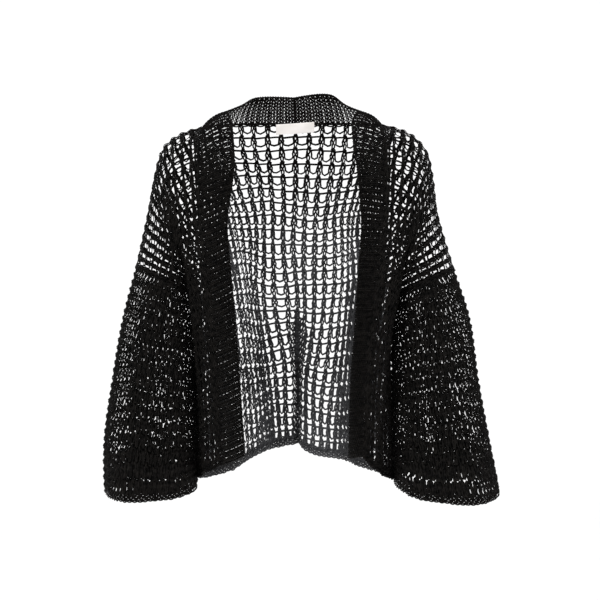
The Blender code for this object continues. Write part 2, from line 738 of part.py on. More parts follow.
def add_wall(name, points, normals, finish, wall=CLOTH_WALL, rise=None, ring=False):
    """One piece of cloth as a closed solid, half its wall to each side of its points."""
    columns, rows = points.shape[:2]
    outer_half = np.full(columns, wall / 2.0) + (0.0 if rise is None else rise)
    outer = points + normals * outer_half[:, None, None]
    inner = points - normals * wall / 2.0
    vertices = np.concatenate([outer.reshape(-1, 3), inner.reshape(-1, 3)])
    mesh = bpy.data.meshes.new(name)
    mesh.from_pydata(vertices.tolist(), [], wall_faces(columns, rows, ring))
    shape = bmesh.new()
    shape.from_mesh(mesh)
    bmesh.ops.recalc_face_normals(shape, faces=shape.faces)
    shape.to_mesh(mesh)
    shape.free()
    mesh.materials.append(finish)
    piece = bpy.data.objects.new(name, mesh)
    bpy.data.collections[COLLECTION].objects.link(piece)
    return piece


COLLECTION = "mesh_knit_cardigan"


def main():
    for old in list(bpy.data.objects):
        bpy.data.objects.remove(old, do_unlink=True)
    bpy.context.scene.collection.children.link(bpy.data.collections.new(COLLECTION))
    points, normals = back_wall()
    add_wall("back", points, normals, material("back_knit", YARN_BLACK, 0.62))
    for side in (RIGHT, LEFT):
        points, normals = front_wall(side)
        finish = material("front_knit_" + side.name, YARN_BLACK, 0.62)
        add_wall("front_" + side.name, points, normals, finish)
        points, normals = sleeve_wall(side)
        finish = material("sleeve_knit_" + side.name, YARN_BLACK, 0.62)
        add_wall("sleeve_" + side.name, points, normals, finish, ring=True)
        points, normals, rise = band_wall(side)
        finish = material("band_rib_" + side.name, BAND_BLACK, 0.58)
        add_wall("front_band_" + side.name, points, normals, finish, rise=rise)
    points, normals, rise = collar_wall()
    add_wall("collar", points, normals, material("collar_rib", BAND_BLACK, 0.58), rise=rise)
    points, normals = label_wall()
    add_wall("neck_label", points, normals, material("label_satin", LABEL_CREAM, 0.45), LABEL_WALL)


main()
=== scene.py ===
import math
from collections import namedtuple
from functools import partial

import bmesh
import bpy
import numpy as np
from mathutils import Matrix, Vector


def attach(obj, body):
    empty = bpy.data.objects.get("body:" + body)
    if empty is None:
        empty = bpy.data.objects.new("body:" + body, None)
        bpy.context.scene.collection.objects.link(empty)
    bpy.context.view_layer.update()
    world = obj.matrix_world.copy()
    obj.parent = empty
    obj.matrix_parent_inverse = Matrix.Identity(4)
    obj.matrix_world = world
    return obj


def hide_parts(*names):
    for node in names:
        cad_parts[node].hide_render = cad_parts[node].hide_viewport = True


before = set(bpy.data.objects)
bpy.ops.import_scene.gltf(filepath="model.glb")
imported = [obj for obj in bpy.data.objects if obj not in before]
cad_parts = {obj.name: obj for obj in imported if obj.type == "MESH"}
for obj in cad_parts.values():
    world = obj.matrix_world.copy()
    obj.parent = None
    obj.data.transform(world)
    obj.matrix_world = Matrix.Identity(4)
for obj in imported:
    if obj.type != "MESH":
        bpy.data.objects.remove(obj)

# Thickness of the solids' walls, and the gap between them
CLOTH_WALL = 0.003
LABEL_WALL = 0.0006
SEAM_GAP = 0.0003

# Ribs of the bands and the collar between the stations at which the solids are measured
RIBS_PER_FRONT_STATION = (2,) * 10 + (3,) * 13
RIBS_PER_NECK_STATION = (1, 1, 1, 1, 2, 2, 2, 2, 2, 2, 2)
STATIONS_TO_UNDERARM = 12

# How the back panel's width is shared between the neck and one shoulder
NECK_SHARE = 0.35
# How fast the rows change from the shoulder line's shape to the hem's
DRAPE_POWER = 1.2
BAND_CROWN = 0.005
# Share of a surface over which its direction is measured
STEP = 1e-3

# Neck label
LABEL_WIDTH = 0.062
LABEL_DROP = 0.0165
LABEL_RISE_RIGHT = 0.0010
LABEL_RISE_LEFT = 0.0052


Strip = namedtuple("Strip", "place seam free")
Ring = namedtuple("Ring", "place centre half_width half_depth outer_rise front_droop")
Fold = namedtuple("Fold", "place across half_width depth start full")
SleeveFold = namedtuple("SleeveFold", "place degrees half_degrees depth start full")

# The band runs from each shoulder down the front edge: seam edge, then free edge
RIGHT_BAND = (
    Strip("shoulder", (-0.1436, 0.0, 0.0), (-0.1035, -0.004, 0.025)),
    Strip("collarbone", (-0.144, -0.045, -0.022), (-0.0945, -0.05, -0.004)),
    Strip("upper chest", (-0.1426, -0.082, -0.078), (-0.0911, -0.086, -0.072)),
    Strip("chest", (-0.1384, -0.1, -0.15), (-0.1015, -0.078, -0.147)),
    Strip("bust", (-0.1295, -0.108, -0.225), (-0.096, -0.078, -0.225)),
    Strip("waist", (-0.122, -0.109, -0.307), (-0.089, -0.077, -0.307)),
    Strip("hip", (-0.116, -0.108, -0.389), (-0.0825, -0.076, -0.389)),
    Strip("hem", (-0.11, -0.105, -0.513), (-0.0762, -0.074, -0.503)),
)
LEFT_BAND = (
    Strip("shoulder", (0.1343, 0.0, 0.004), (0.096, -0.004, 0.026)),
    Strip("collarbone", (0.135, -0.045, -0.018), (0.086, -0.05, -0.002)),
    Strip("upper chest", (0.1353, -0.084, -0.08), (0.0935, -0.08, -0.072)),
    Strip("chest", (0.133, -0.101, -0.15), (0.1003, -0.073, -0.147)),
    Strip("bust", (0.1265, -0.108, -0.225), (0.0955, -0.074, -0.225)),
    Strip("waist", (0.1125, -0.109, -0.307), (0.0905, -0.071, -0.307)),
    Strip("hip", (0.1061, -0.108, -0.389), (0.0845, -0.07, -0.389)),
    Strip("hem", (0.1035, -0.105, -0.503), (0.0815, -0.068, -0.505)),
)
# The collar runs from the centre of the back neck to each shoulder
RIGHT_COLLAR = (
    Strip("centre back", (0.0, 0.09, 0.0133), (-0.002, 0.079, 0.056)),
    Strip("back", (-0.066, 0.076, 0.0125), (-0.06, 0.064, 0.0545)),
    Strip("neck side", (-0.116, 0.042, 0.008), (-0.082, 0.03, 0.039)),
    Strip("shoulder", (-0.1436, 0.0, 0.0), (-0.1035, -0.004, 0.025)),
)
LEFT_COLLAR = (
    Strip("centre back", (0.0, 0.09, 0.0133), (-0.002, 0.079, 0.056)),
    Strip("back", (0.062, 0.077, 0.0125), (0.052, 0.066, 0.06)),
    Strip("neck side", (0.11, 0.042, 0.009), (0.077, 0.03, 0.0395)),
    Strip("shoulder", (0.1343, 0.0, 0.004), (0.096, -0.004, 0.026)),
)

# Shoulder line from the band to the top of the armhole
RIGHT_SHOULDER = (
    (-0.1436, 0.0, 0.0), (-0.178, -0.003, -0.0115), (-0.2015, -0.004, -0.03),
    (-0.214, -0.004, -0.065), (-0.2275, -0.002, -0.14), (-0.2445, 0.0, -0.215),
)
LEFT_SHOULDER = (
    (0.1343, 0.0, 0.004), (0.1775, -0.003, -0.0105), (0.2025, -0.004, -0.037),
    (0.211, -0.004, -0.072), (0.2195, -0.002, -0.135), (0.2448, 0.0, -0.2187),
)
# Centre of the back from the neck seam to the hem
CENTRE_BACK = (
    (0.0, 0.09, 0.0133), (0.0, 0.103, -0.04), (0.0, 0.113, -0.1), (0.001, 0.117, -0.2),
    (0.003, 0.117, -0.33), (0.0045, 0.117, -0.4985),
)
# Side seams from the underarm to the hem
RIGHT_SIDE = (
    (-0.1515, 0.0, -0.259), (-0.1465, 0.004, -0.285), (-0.1455, 0.008, -0.38),
    (-0.147, 0.01, -0.5425),
)
LEFT_SIDE = (
    (0.1512, 0.0, -0.2603), (0.1465, 0.004, -0.287), (0.146, 0.008, -0.38),
    (0.15, 0.008, -0.545),
)
# Hems, from the band or the centre back out to the side seam
RIGHT_FRONT_HEM = (
    (-0.11, -0.105, -0.513), (-0.1345, -0.078, -0.527), (-0.1465, -0.035, -0.537),
    (-0.147, 0.01, -0.5425),
)
LEFT_FRONT_HEM = (
    (0.1035, -0.105, -0.503), (0.1225, -0.09, -0.523), (0.146, -0.045, -0.538),
    (0.15, 0.008, -0.545),
)
RIGHT_BACK_HEM = (
    (0.0045, 0.117, -0.4985), (-0.044, 0.113, -0.508), (-0.082, 0.096, -0.528),
    (-0.12, 0.062, -0.5425), (-0.147, 0.01, -0.5425),
)
LEFT_BACK_HEM = (
    (0.0045, 0.117, -0.4985), (0.025, 0.116, -0.5134), (0.055, 0.108, -0.5203),
    (0.086, 0.094, -0.525), (0.12, 0.062, -0.536), (0.15, 0.008, -0.545),
)

# Sleeve rings. Outer_rise lifts the outer side over the inner, front_droop lowers the front
RIGHT_SLEEVE = (
    Ring("armhole", (-0.198, 0.0, -0.237), 0.0465, 0.085, 0.022, 0.0),
    Ring("upper arm", (-0.2065, -0.006, -0.305), 0.0565, 0.083, 0.019, 0.002),
    Ring("elbow", (-0.2165, -0.018, -0.4), 0.064, 0.08, 0.012, 0.005),
    Ring("forearm", (-0.2232, -0.028, -0.49), 0.0693, 0.078, 0.0035, 0.008),
    Ring("cuff", (-0.2225, -0.035, -0.557), 0.0685, 0.078, -0.003, 0.01),
)
LEFT_SLEEVE = (
    Ring("armhole", (0.198, 0.0, -0.2395), 0.0468, 0.085, 0.0208, 0.0),
    Ring("upper arm", (0.2085, -0.006, -0.305), 0.0585, 0.083, 0.018, 0.003),
    Ring("elbow", (0.2163, -0.018, -0.4), 0.0652, 0.08, 0.009, 0.008),
    Ring("forearm", (0.2267, -0.028, -0.49), 0.0723, 0.078, -0.001, 0.014),
    Ring("cuff", (0.2335, -0.035, -0.5525), 0.078, 0.08, -0.0065, 0.018),
)

# Pinched fold at the centre of the back: how far it stands out and how much width it takes up
BACK_FOLD_DEPTH = 0.022
BACK_FOLD_REACH = 0.075
BACK_FOLD_WIDTH = 0.09
BACK_FOLD_TAKEN = 0.052
BACK_FOLD_START = 0.3

# Soft folds of the panels, across from the inner edge (0) to the side (1), growing down the panel.
# A fold that is full high up fades again below
HIGH_FOLD = 0.4
HIGH_FOLD_FADE = 0.3
RIGHT_FRONT_FOLDS = (
    Fold("beside the band", 0.26, 0.13, 0.006, 0.45, 0.95),
    Fold("hollow", 0.5, 0.13, -0.0055, 0.35, 0.85),
    Fold("towards the side", 0.72, 0.12, 0.0045, 0.55, 1.0),
    Fold("shoulder hollow", 0.66, 0.15, -0.005, 0.06, 0.22),
)
LEFT_FRONT_FOLDS = (
    Fold("beside the band", 0.22, 0.12, 0.005, 0.5, 0.9),
    Fold("hollow", 0.44, 0.14, -0.006, 0.4, 0.8),
    Fold("towards the side", 0.7, 0.13, 0.005, 0.5, 1.0),
    Fold("shoulder hollow", 0.6, 0.16, -0.004, 0.05, 0.25),
)
RIGHT_BACK_FOLDS = (
    Fold("inner ridge", 0.42, 0.11, 0.006, 0.35, 0.9),
    Fold("hollow", 0.6, 0.1, -0.006, 0.3, 0.8),
    Fold("outer ridge", 0.79, 0.1, 0.005, 0.4, 1.0),
)
LEFT_BACK_FOLDS = (
    Fold("inner ridge", 0.38, 0.1, 0.005, 0.4, 0.95),
    Fold("hollow", 0.57, 0.11, -0.0065, 0.3, 0.85),
    Fold("outer ridge", 0.78, 0.11, 0.0055, 0.35, 0.9),
)
# Soft folds of the sleeves, round from the outer side (0) by the front (90) to the inner (180)
RIGHT_SLEEVE_FOLDS = (
    SleeveFold("front ridge", 62.0, 26.0, 0.005, 0.15, 0.8),
    SleeveFold("front hollow", 104.0, 24.0, -0.007, 0.1, 0.7),
    SleeveFold("outer hollow", 18.0, 24.0, -0.0035, 0.2, 0.75),
    SleeveFold("back ridge", 236.0, 28.0, 0.005, 0.2, 0.85),
    SleeveFold("back hollow", 288.0, 26.0, -0.006, 0.15, 0.8),
)
LEFT_SLEEVE_FOLDS = (
    SleeveFold("front ridge", 58.0, 24.0, 0.0045, 0.2, 0.75),
    SleeveFold("front hollow", 98.0, 24.0, -0.0075, 0.1, 0.75),
    SleeveFold("inner ridge", 132.0, 22.0, 0.004, 0.3, 0.9),
    SleeveFold("back hollow", 248.0, 28.0, -0.006, 0.15, 0.8),
    SleeveFold("back ridge", 300.0, 26.0, 0.005, 0.2, 0.85),
)

Side = namedtuple(
    "Side",
    "name sign band collar shoulder side_seam front_hem back_hem sleeve"
    " front_folds back_folds sleeve_folds",
)
RIGHT = Side(
    "right", -1.0, RIGHT_BAND, RIGHT_COLLAR, RIGHT_SHOULDER, RIGHT_SIDE, RIGHT_FRONT_HEM,
    RIGHT_BACK_HEM, RIGHT_SLEEVE, RIGHT_FRONT_FOLDS, RIGHT_BACK_FOLDS, RIGHT_SLEEVE_FOLDS,
)
LEFT = Side(
    "left", 1.0, LEFT_BAND, LEFT_COLLAR, LEFT_SHOULDER, LEFT_SIDE, LEFT_FRONT_HEM,
    LEFT_BACK_HEM, LEFT_SLEEVE, LEFT_FRONT_FOLDS, LEFT_BACK_FOLDS, LEFT_SLEEVE_FOLDS,
)


def stations(counts):
    """Cumulative shares of a run of counts, from 0 to 1."""
    return np.concatenate([[0.0], np.cumsum(counts)]) / float(sum(counts))


PANEL_ROWS = stations(RIBS_PER_FRONT_STATION)
UNDERARM = float(PANEL_ROWS[STATIONS_TO_UNDERARM])


def ease(x):
    """Smooth step from 0 to 1."""
    x = np.clip(x, 0.0, 1.0)
    return x * x * (3.0 - 2.0 * x)


def bump(x):
    """Smooth hump of height 1 over -1 to 1."""
    return np.cos(np.clip(x, -1.0, 1.0) * math.pi / 2.0) ** 2


def unit(v):
    return v / np.maximum(np.linalg.norm(v, axis=-1, keepdims=True), 1e-12)


def hermite(t, h, values, slope, k):
    """Cubic between values k and k + 1, for a share t of their distance h."""
    return (
        (2 * t**3 - 3 * t**2 + 1) * values[k]
        + (t**3 - 2 * t**2 + t) * h * slope[k]
        + (3 * t**2 - 2 * t**3) * values[k + 1]
        + (t**3 - t**2) * h * slope[k + 1]
    )


def spline(points, at):
    """Smooth curve through the points, read at fractions of its length."""
    p = np.asarray(points, dtype=float)
    chord = np.linalg.norm(np.diff(p, axis=0), axis=1)
    s = np.concatenate([[0.0], np.cumsum(chord)])
    slope = np.empty_like(p)
    slope[1:-1] = (p[2:] - p[:-2]) / (s[2:] - s[:-2])[:, None]
    slope[0] = 1.5 * (p[1] - p[0]) / chord[0] - 0.5 * slope[1]
    slope[-1] = 1.5 * (p[-1] - p[-2]) / chord[-1] - 0.5 * slope[-2]
    x = np.clip(np.asarray(at, dtype=float), 0.0, 1.0) * s[-1]
    k = np.clip(np.searchsorted(s, x, side="right") - 1, 0, len(chord) - 1)
    return hermite(((x - s[k]) / chord[k])[..., None], chord[k][..., None], p, slope, k)


def seam_edge(rows):
    return [row.seam for row in rows]


def ring_point(ring, angle):
    """Point of a sleeve ring: angle 0 is its outer side, a quarter turn its front."""
    centre, half_width, half_depth, outer_rise, front_droop, sign = ring
    cos, sin = np.cos(angle), np.sin(angle)
    x = centre[..., 0] + sign * half_width * cos
    y = centre[..., 1] - half_depth * sin
    z = centre[..., 2] + outer_rise * cos - front_droop * sin
    return np.stack([x, y, z], axis=-1)


def sleeve_ring(side, down):
    """The sleeve's ring values at a share of its length down from the armhole."""
    rows = np.array([(*r.centre, *r[2:]) for r in side.sleeve])
    depth = (rows[:, 2] - rows[0, 2]) / (rows[-1, 2] - rows[0, 2])
    columns = [smooth_column(depth, rows[:, i], down) for i in range(rows.shape[1])]
    return (np.stack(columns[:3], axis=-1), *columns[3:], side.sign)


def smooth_column(at, values, x):
    """One column of a table, read smoothly between its rows."""
    x = np.clip(x, 0.0, 1.0)
    k = np.clip(np.searchsorted(at, x, side="right") - 1, 0, len(at) - 2)
    h = at[k + 1] - at[k]
    return hermite((x - at[k]) / h, h, values, np.gradient(values, at), k)


def armhole(side, angle):
    """The seam between the panels and the sleeve."""
    return ring_point(sleeve_ring(side, np.zeros_like(angle)), angle)


def patch(top, bottom, inner, outer, u, v):
    """Surface between four edges that meet at the corners: u runs across, v runs down."""
    f = ((1.0 - v) ** DRAPE_POWER)[..., None]
    h = ease(u)[..., None]
    zero, one = np.zeros_like(u), np.ones_like(u)
    a = inner(v) - f * inner(zero) - (1 - f) * inner(one)
    b = outer(v) - f * outer(zero) - (1 - f) * outer(one)
    return f * top(u) + (1 - f) * bottom(u) + (1 - h) * a + h * b


def side_edge(side, turn, v):
    """Armhole half and side seam as one edge. Turn is +1 round the front, -1 round the back."""
    along = np.clip(v / UNDERARM, 0.0, 1.0)
    ring = armhole(side, turn * math.pi * along)
    below = spline(side.side_seam, (v - UNDERARM) / (1.0 - UNDERARM))
    return np.where((v <= UNDERARM)[..., None], ring, below)


def front_base(side, u, v):
    top, hem = partial(spline, side.shoulder), partial(spline, side.front_hem)
    band = partial(spline, seam_edge(side.band))
    return patch(top, hem, band, partial(side_edge, side, 1.0), u, v)


def back_top(side, u):
    neck = spline(seam_edge(side.collar), u / NECK_SHARE)
    shoulder = spline(side.shoulder, (u - NECK_SHARE) / (1.0 - NECK_SHARE))
    return np.where((u <= NECK_SHARE)[..., None], neck, shoulder)


def back_base(side, u, v):
    """Half of the back. Towards the hem the centre fold takes up some of its width."""
    taken = BACK_FOLD_TAKEN * ease((v - BACK_FOLD_START) / (1.0 - BACK_FOLD_START))
    left = 1.0 - taken * math.tanh(1.0 / BACK_FOLD_WIDTH)
    spread = (u - taken * np.tanh(u / BACK_FOLD_WIDTH)) / left
    top, hem = partial(back_top, side), partial(spline, side.back_hem)
    middle = partial(spline, CENTRE_BACK)
    return patch(top, hem, middle, partial(side_edge, side, -1.0), spread, v)


def clamped_normal(surface, u, v, outward):
    """The normal of a panel, whose width and length end at 0 and 1."""
    du = surface(np.clip(u + STEP, 0, 1), v) - surface(np.clip(u - STEP, 0, 1), v)
    dv = surface(u, np.clip(v + STEP, 0, 1)) - surface(u, np.clip(v - STEP, 0, 1))
    return outward * unit(np.cross(du, dv))


def panel_push(folds, u, v):
    """How far the soft folds move a panel outwards. They vanish at its seams."""
    at_seams = bump(2.0 * u - 1.0) ** 0.5
    push = np.zeros_like(u)
    for f in folds:
        grow = ease((v - f.start) / (f.full - f.start))
        high_up = f.full <= HIGH_FOLD
        fade = 1.0 - ease((v - f.full) / HIGH_FOLD_FADE) if high_up else 1.0
        push += f.depth * grow * fade * bump((u - f.across) / f.half_width)
    return push * at_seams


def front_point(side, u, v):
    normal = clamped_normal(partial(front_base, side), u, v, -side.sign)
    return front_base(side, u, v) + normal * panel_push(side.front_folds, u, v)[..., None]


def back_point(side, u, v):
    normal = clamped_normal(partial(back_base, side), u, v, side.sign)
    grow = ease((v - BACK_FOLD_START) / (1.0 - BACK_FOLD_START))
    ridge = BACK_FOLD_DEPTH * grow * bump(u / BACK_FOLD_REACH)
    push = normal * panel_push(side.back_folds, u, v)[..., None]
    return back_base(side, u, v) + push + ridge[..., None] * np.array((0.0, 1.0, 0.0))


def sleeve_point(side, angle, down):
    ring = sleeve_ring(side, down)
    base = ring_point(ring, angle)
    away = unit((base - ring[0]) * np.array((1.0, 1.0, 0.0)))
    degrees = np.degrees(angle)
    push = np.zeros_like(down)
    for f in side.sleeve_folds:
        turn = (degrees - f.degrees + 180.0) % 360.0 - 180.0
        push += f.depth * ease((down - f.start) / (f.full - f.start)) * bump(turn / f.half_degrees)
    return base + away * push[..., None]


def back_normal(side, u, v):
    return clamped_normal(partial(back_point, side), u, v, side.sign)


def strip_point(rows, along, across, outward):
    """Band or collar: across runs from its seam edge (0) to its free edge (1)."""
    seam = spline(seam_edge(rows), along)
    free = spline([row.free for row in rows], along)
    flat = seam + (free - seam) * across[..., None]
    return flat + strip_normal(rows, along, outward) * crown(across)[..., None]


def strip_normal(rows, along, outward):
    seam, free = seam_edge(rows), [row.free for row in rows]
    ahead, behind = np.clip(along + STEP, 0, 1), np.clip(along - STEP, 0, 1)
    run = spline(seam, ahead) + spline(free, ahead) - spline(seam, behind) - spline(free, behind)
    return outward * unit(np.cross(run, spline(free, along) - spline(seam, along)))


def crown(across):
    """How far the strip's middle stands proud of its edges."""
    return BAND_CROWN * 4.0 * across * (1.0 - across)


def seam_share(side, x):
    """Share of the collar seam, from the centre back, at a distance out from it."""
    share = np.linspace(0.0, 1.0, 200)
    out = np.abs(spline(seam_edge(side.collar), share)[:, 0])
    return np.interp(abs(x), out, share)


# ---------------------------------------------------------------- knit
YARN_RADIUS = 0.00140
FLATNESS = 0.44
FULL_PITCH = 0.0205
DRAW_IN = 0.55
SLEEVE_PITCH = 0.0102
STRAND_STEPS = 8
HEM_SAMPLES_PER_WALE = 6
STRIP_SAMPLES = 200
AREA_SAMPLES = (400, 40)
NECK_WALES = 8
SHOULDER_WALES = 16
HALF_WALES = NECK_WALES + SHOULDER_WALES
PANEL_COURSES = 24
SLEEVE_WALES = 48
SLEEVE_COURSES = 15
SAMPLES_PER_WALE = 8
SAMPLES_PER_COURSE = 6
EDGE_INSET = 0.0019
WANDER = 0.0009
# How far the loops' bends stray, and how much further where the stitches crowd together
STRAY = 0.0006
SLEEVE_STRAY = 0.0002
STRAY_MORE = 0.0011
# How far each row of knots stands out from the rows of holes
ROW_PUFF = 0.0009
WIDEST_LEG = 0.42
# How far wales and courses drift, and over how many of them the drift fades at the seams
DRIFT_WALES = 0.20
DRIFT_COURSES = 0.16
DRIFT_FADE = 1.5
RING_SWING = 9.0
# Courses that loops and bars keep clear of the edges
CLEAR = 0.06
# Uneven loops: size, how far the foot shifts down, leans and lifts, and thickness
LOOP_SIZE = (0.78, 1.18)
FOOT_SHIFT = 0.06
FOOT_LEAN = (-0.08, 0.04)
FOOT_LIFT = 0.0006
LOOP_THICKNESS = (0.88, 1.08)
# Uneven bars: tilt, sag, shift down and thickness
BAR_TILT = (0.4, 1.5)
BAR_SAG = (-0.01, 0.035)
BAR_SHIFT = 0.02
BAR_THICKNESS = (0.92, 1.10)
BAR_LIFT = 0.0008
# How much thicker bars are where the columns gather
BAR_THICKER = 1.1
# Strands: courses by which the winding runs ahead, how uneven it is, and how uneven their thickness
WINDING_AHEAD = 0.05
WINDING_UNEVEN = 0.35
STRAND_UNEVEN = 0.10
TURN = 2.0 * math.pi
RIPPLE_WAVES = 5
RIPPLE_RANGE = 3.2

Cloth = namedtuple("Cloth", "points normals pitch rise first last courses ring fullness spread")
# One bend of a mesh loop: metres out from its column, share of the course down, metres up
Bend = namedtuple("Bend", "out down up")
LOOP_LEG = (
    Bend(0.0008, -0.29, -0.0010),
    Bend(0.0026, -0.16, 0.0004),
    Bend(0.0020, -0.03, 0.0013),
    Bend(0.0034, 0.09, 0.0010),
    Bend(0.0040, 0.24, 0.0005),
    Bend(0.0040, 0.44, 0.0000),
)
SLEEVE_LEG = (
    Bend(0.0008, -0.46, -0.0012),
    Bend(0.0034, -0.32, -0.0002),
    Bend(0.0034, -0.16, 0.0002),
    Bend(0.0027, -0.02, 0.0014),
    Bend(0.0042, 0.16, 0.0000),
    Bend(0.0042, 0.36, 0.0004),
)
# The loop's foot: share of the gap across, share of the course down, metres up
LOOP_FOOT = ((0.10, 0.555, 0.0), (0.50, 0.640, 0.0), (0.90, 0.555, 0.0))
SLEEVE_FOOT = ((0.15, 0.470, 0.0010), (0.85, 0.470, 0.0010))
BAR_DOWN = 0.955
BAR_SLANT = 0.075
COLUMN_SPREAD = 0.0022
COLUMN_DEPTH = 0.0009
SLEEVE_KNOB = 0.0010
# How full the sleeve's yarns are, and at which courses
SLEEVE_FULLNESS = ((2.0, 1.12), (8.0, 1.20), (12.0, 1.27), (13.0, 1.76))
INNER_FULLER = 0.16
INNER_COURSES = (8.0, 12.0)
STREAK_COURSES = (12.0, 13.0)
# Lengthwise streaks in which the sleeve's stitches stay open: the middle and half width as shares
# of the sleeve's half width, outwards from its middle, and by how much the yarns are thinner
Streak = namedtuple("Streak", "middle half thinner")
STREAKS = {
    "right": (Streak(-0.17, 0.30, 0.26), Streak(0.68, 0.24, 0.14)),
    "left": (Streak(-0.24, 0.26, 0.24), Streak(0.50, 0.50, 0.09)),
}
# The sleeve's inner side rests against the body's side: how far it is pressed in, and where
SLEEVE_PRESS = 0.0028
PRESS_COURSES = (6.0, 9.0)
BOTH_WAYS = (1.0, -1.0)
# Seeds of the uneven stitches, each less 1 on the right and plus 1 on the left
BACK_SEED, FRONT_SEED, SLEEVE_SEED = 21, 31, 41
ONE_STRAND = (0.5,)


def ripple(seed, *at):
    """Slow, seeded unevenness of about -1 to 1."""
    rng = np.random.default_rng(seed)
    total = np.zeros(np.broadcast(*at).shape)
    for _ in range(RIPPLE_WAVES):
        phase = rng.uniform(0.0, TURN)
        for x in at:
            phase = phase + x * rng.uniform(0.25, 1.3) * rng.choice((-1.0, 1.0))
        total += np.sin(phase)
    return total / RIPPLE_RANGE


def cloth(point_at, first, last, courses, outward, fullness, spread=None, ring=False):
    """A piece's surface sampled on wales across and courses down."""
    w = np.linspace(first, last, (last - first) * SAMPLES_PER_WALE + 1)
    b = np.linspace(0.0, courses, courses * SAMPLES_PER_COURSE + 1)
    points = point_at(*np.meshgrid(w, b, indexing="ij"))
    dw = np.gradient(points, w, axis=0)
    db = np.gradient(points, b, axis=1)
    if ring:
        dw[0] = dw[-1] = (dw[0] + dw[-1]) / 2.0
    normals = outward * unit(np.cross(dw, db))
    pitch, rise = np.linalg.norm(dw, axis=-1), np.linalg.norm(db, axis=-1)
    return Cloth(points, normals, pitch, rise, first, last, courses, ring, fullness, spread)


def read(c, grid, w, b):
    """A grid of the cloth read between its samples."""
    x = (w - c.first) * SAMPLES_PER_WALE
    if c.ring:
        x = np.mod(x, (c.last - c.first) * SAMPLES_PER_WALE)
    x = np.clip(x, 0.0, grid.shape[0] - 1.0001)
    y = np.clip(b * SAMPLES_PER_COURSE, 0.0, grid.shape[1] - 1.0001)
    i, j = x.astype(int), y.astype(int)
    s, t = x - i, y - j
    if grid.ndim == 3:
        s, t = s[..., None], t[..., None]
    return (
        grid[i, j] * (1 - s) * (1 - t)
        + grid[i + 1, j] * s * (1 - t)
        + grid[i, j + 1] * (1 - s) * t
        + grid[i + 1, j + 1] * s * t
    )


def warped(c, w, b):
    """Wales and courses that drift, as hand-knit ones do, but meet the seams straight."""
    fade = np.clip(np.minimum(b, c.courses - b) / DRIFT_FADE, 0.0, 1.0)
    around = RING_SWING * np.cos(TURN * w / (c.last - c.first)) if c.ring else w
    if not c.ring:
        fade = fade * np.clip(np.minimum(w - c.first, c.last - w) / DRIFT_FADE, 0.0, 1.0)
    drift_w = DRIFT_WALES * fade * ripple(3, around * 0.9, b * 0.7)
    drift_b = DRIFT_COURSES * fade * ripple(4, around * 0.8, b * 0.9)
    return w + drift_w, b + drift_b


def on_cloth(c, w, b, up):
    up = up + ROW_PUFF * np.cos(2.0 * TURN * b + ripple(9, w * 0.3 + 0.0 * b))
    w, b = warped(c, w, b)
    normal = unit(read(c, c.normals, w, b))
    return read(c, c.points, w, b) + normal * up[..., None], normal


def tube(points, normals, radius, sides):
    """Closed soft yarns, a little flattened, round many paths at once: corner points and faces."""
    many, long = points.shape[:2]
    run = unit(np.gradient(points, axis=1))
    across = unit(np.cross(run, normals))
    up = np.cross(across, run)
    turn = TURN * (np.arange(sides) / sides + 0.25)
    flat = FLATNESS * up[:, :, None] * np.sin(turn)[:, None]
    way = across[:, :, None] * np.cos(turn)[:, None] + flat
    radius = np.broadcast_to(radius, (many, long))
    corners = points[:, :, None] + way * radius[:, :, None, None]
    index = np.arange(many * long * sides).reshape(many, long, sides)
    side = np.roll(index, -1, axis=2)
    walls = np.stack([index[:, :-1], index[:, 1:], side[:, 1:], side[:, :-1]], axis=-1)
    ends = np.concatenate([index[:, 0], index[:, -1, ::-1]])
    return corners.reshape(-1, 3), walls.reshape(-1, 4), ends


def joined(name, yarns):
    """One mesh of many yarns."""
    corners, around, counts, start = [], [], [], 0
    for points, walls, ends in yarns:
        corners.append(points)
        for faces in (walls, ends):
            around.append((faces + start).ravel())
            counts.append(np.full(len(faces), faces.shape[1]))
        start += len(points)
    corners, around, counts = map(np.concatenate, (corners, around, counts))
    mesh = bpy.data.meshes.new(name)
    mesh.vertices.add(len(corners))
    mesh.vertices.foreach_set("co", corners.astype(np.float32).ravel())
    mesh.loops.add(len(around))
    mesh.loops.foreach_set("vertex_index", around.astype(np.int32))
    mesh.polygons.add(len(counts))
    starts = np.concatenate([[0], np.cumsum(counts)[:-1]])
    mesh.polygons.foreach_set("loop_start", starts.astype(np.int32))
    mesh.update(calc_edges=True)
    mesh.validate()
    return placed(name, mesh)


def knitted(name, yarns, finish, node):
    piece = joined(name, yarns)
    dress(piece, finish, node)
    return piece


def placed(name, mesh):
    mesh.polygons.foreach_set("use_smooth", np.ones(len(mesh.polygons), bool))
    return linked(name, mesh)


def linked(name, data):
    made = bpy.data.objects.new(name, data)
    bpy.context.scene.collection.objects.link(made)
    return made


def column_at(c, column, b):
    """Where a column of stitches runs: it wavers, and an edge one keeps clear of the seam."""
    pitch = read(c, c.pitch, column, b)
    w = column + WANDER * ripple(11, column * 2.3, b) / pitch
    if c.ring:
        return w
    inset = EDGE_INSET / pitch
    return np.clip(w, c.first + inset, c.last - inset)


def reach(c, w, b, out):
    """A distance across the cloth as a share of a wale: closely set wales draw it in."""
    pitch = read(c, c.pitch, w, b)
    if c.ring:
        return out / SLEEVE_PITCH + 0.0 * pitch
    return out * c.spread(w, b) * np.minimum(1.0, (pitch / FULL_PITCH) ** DRAW_IN) / pitch


def yarn_radius(c, w, b):
    return YARN_RADIUS * c.fullness(w, b)


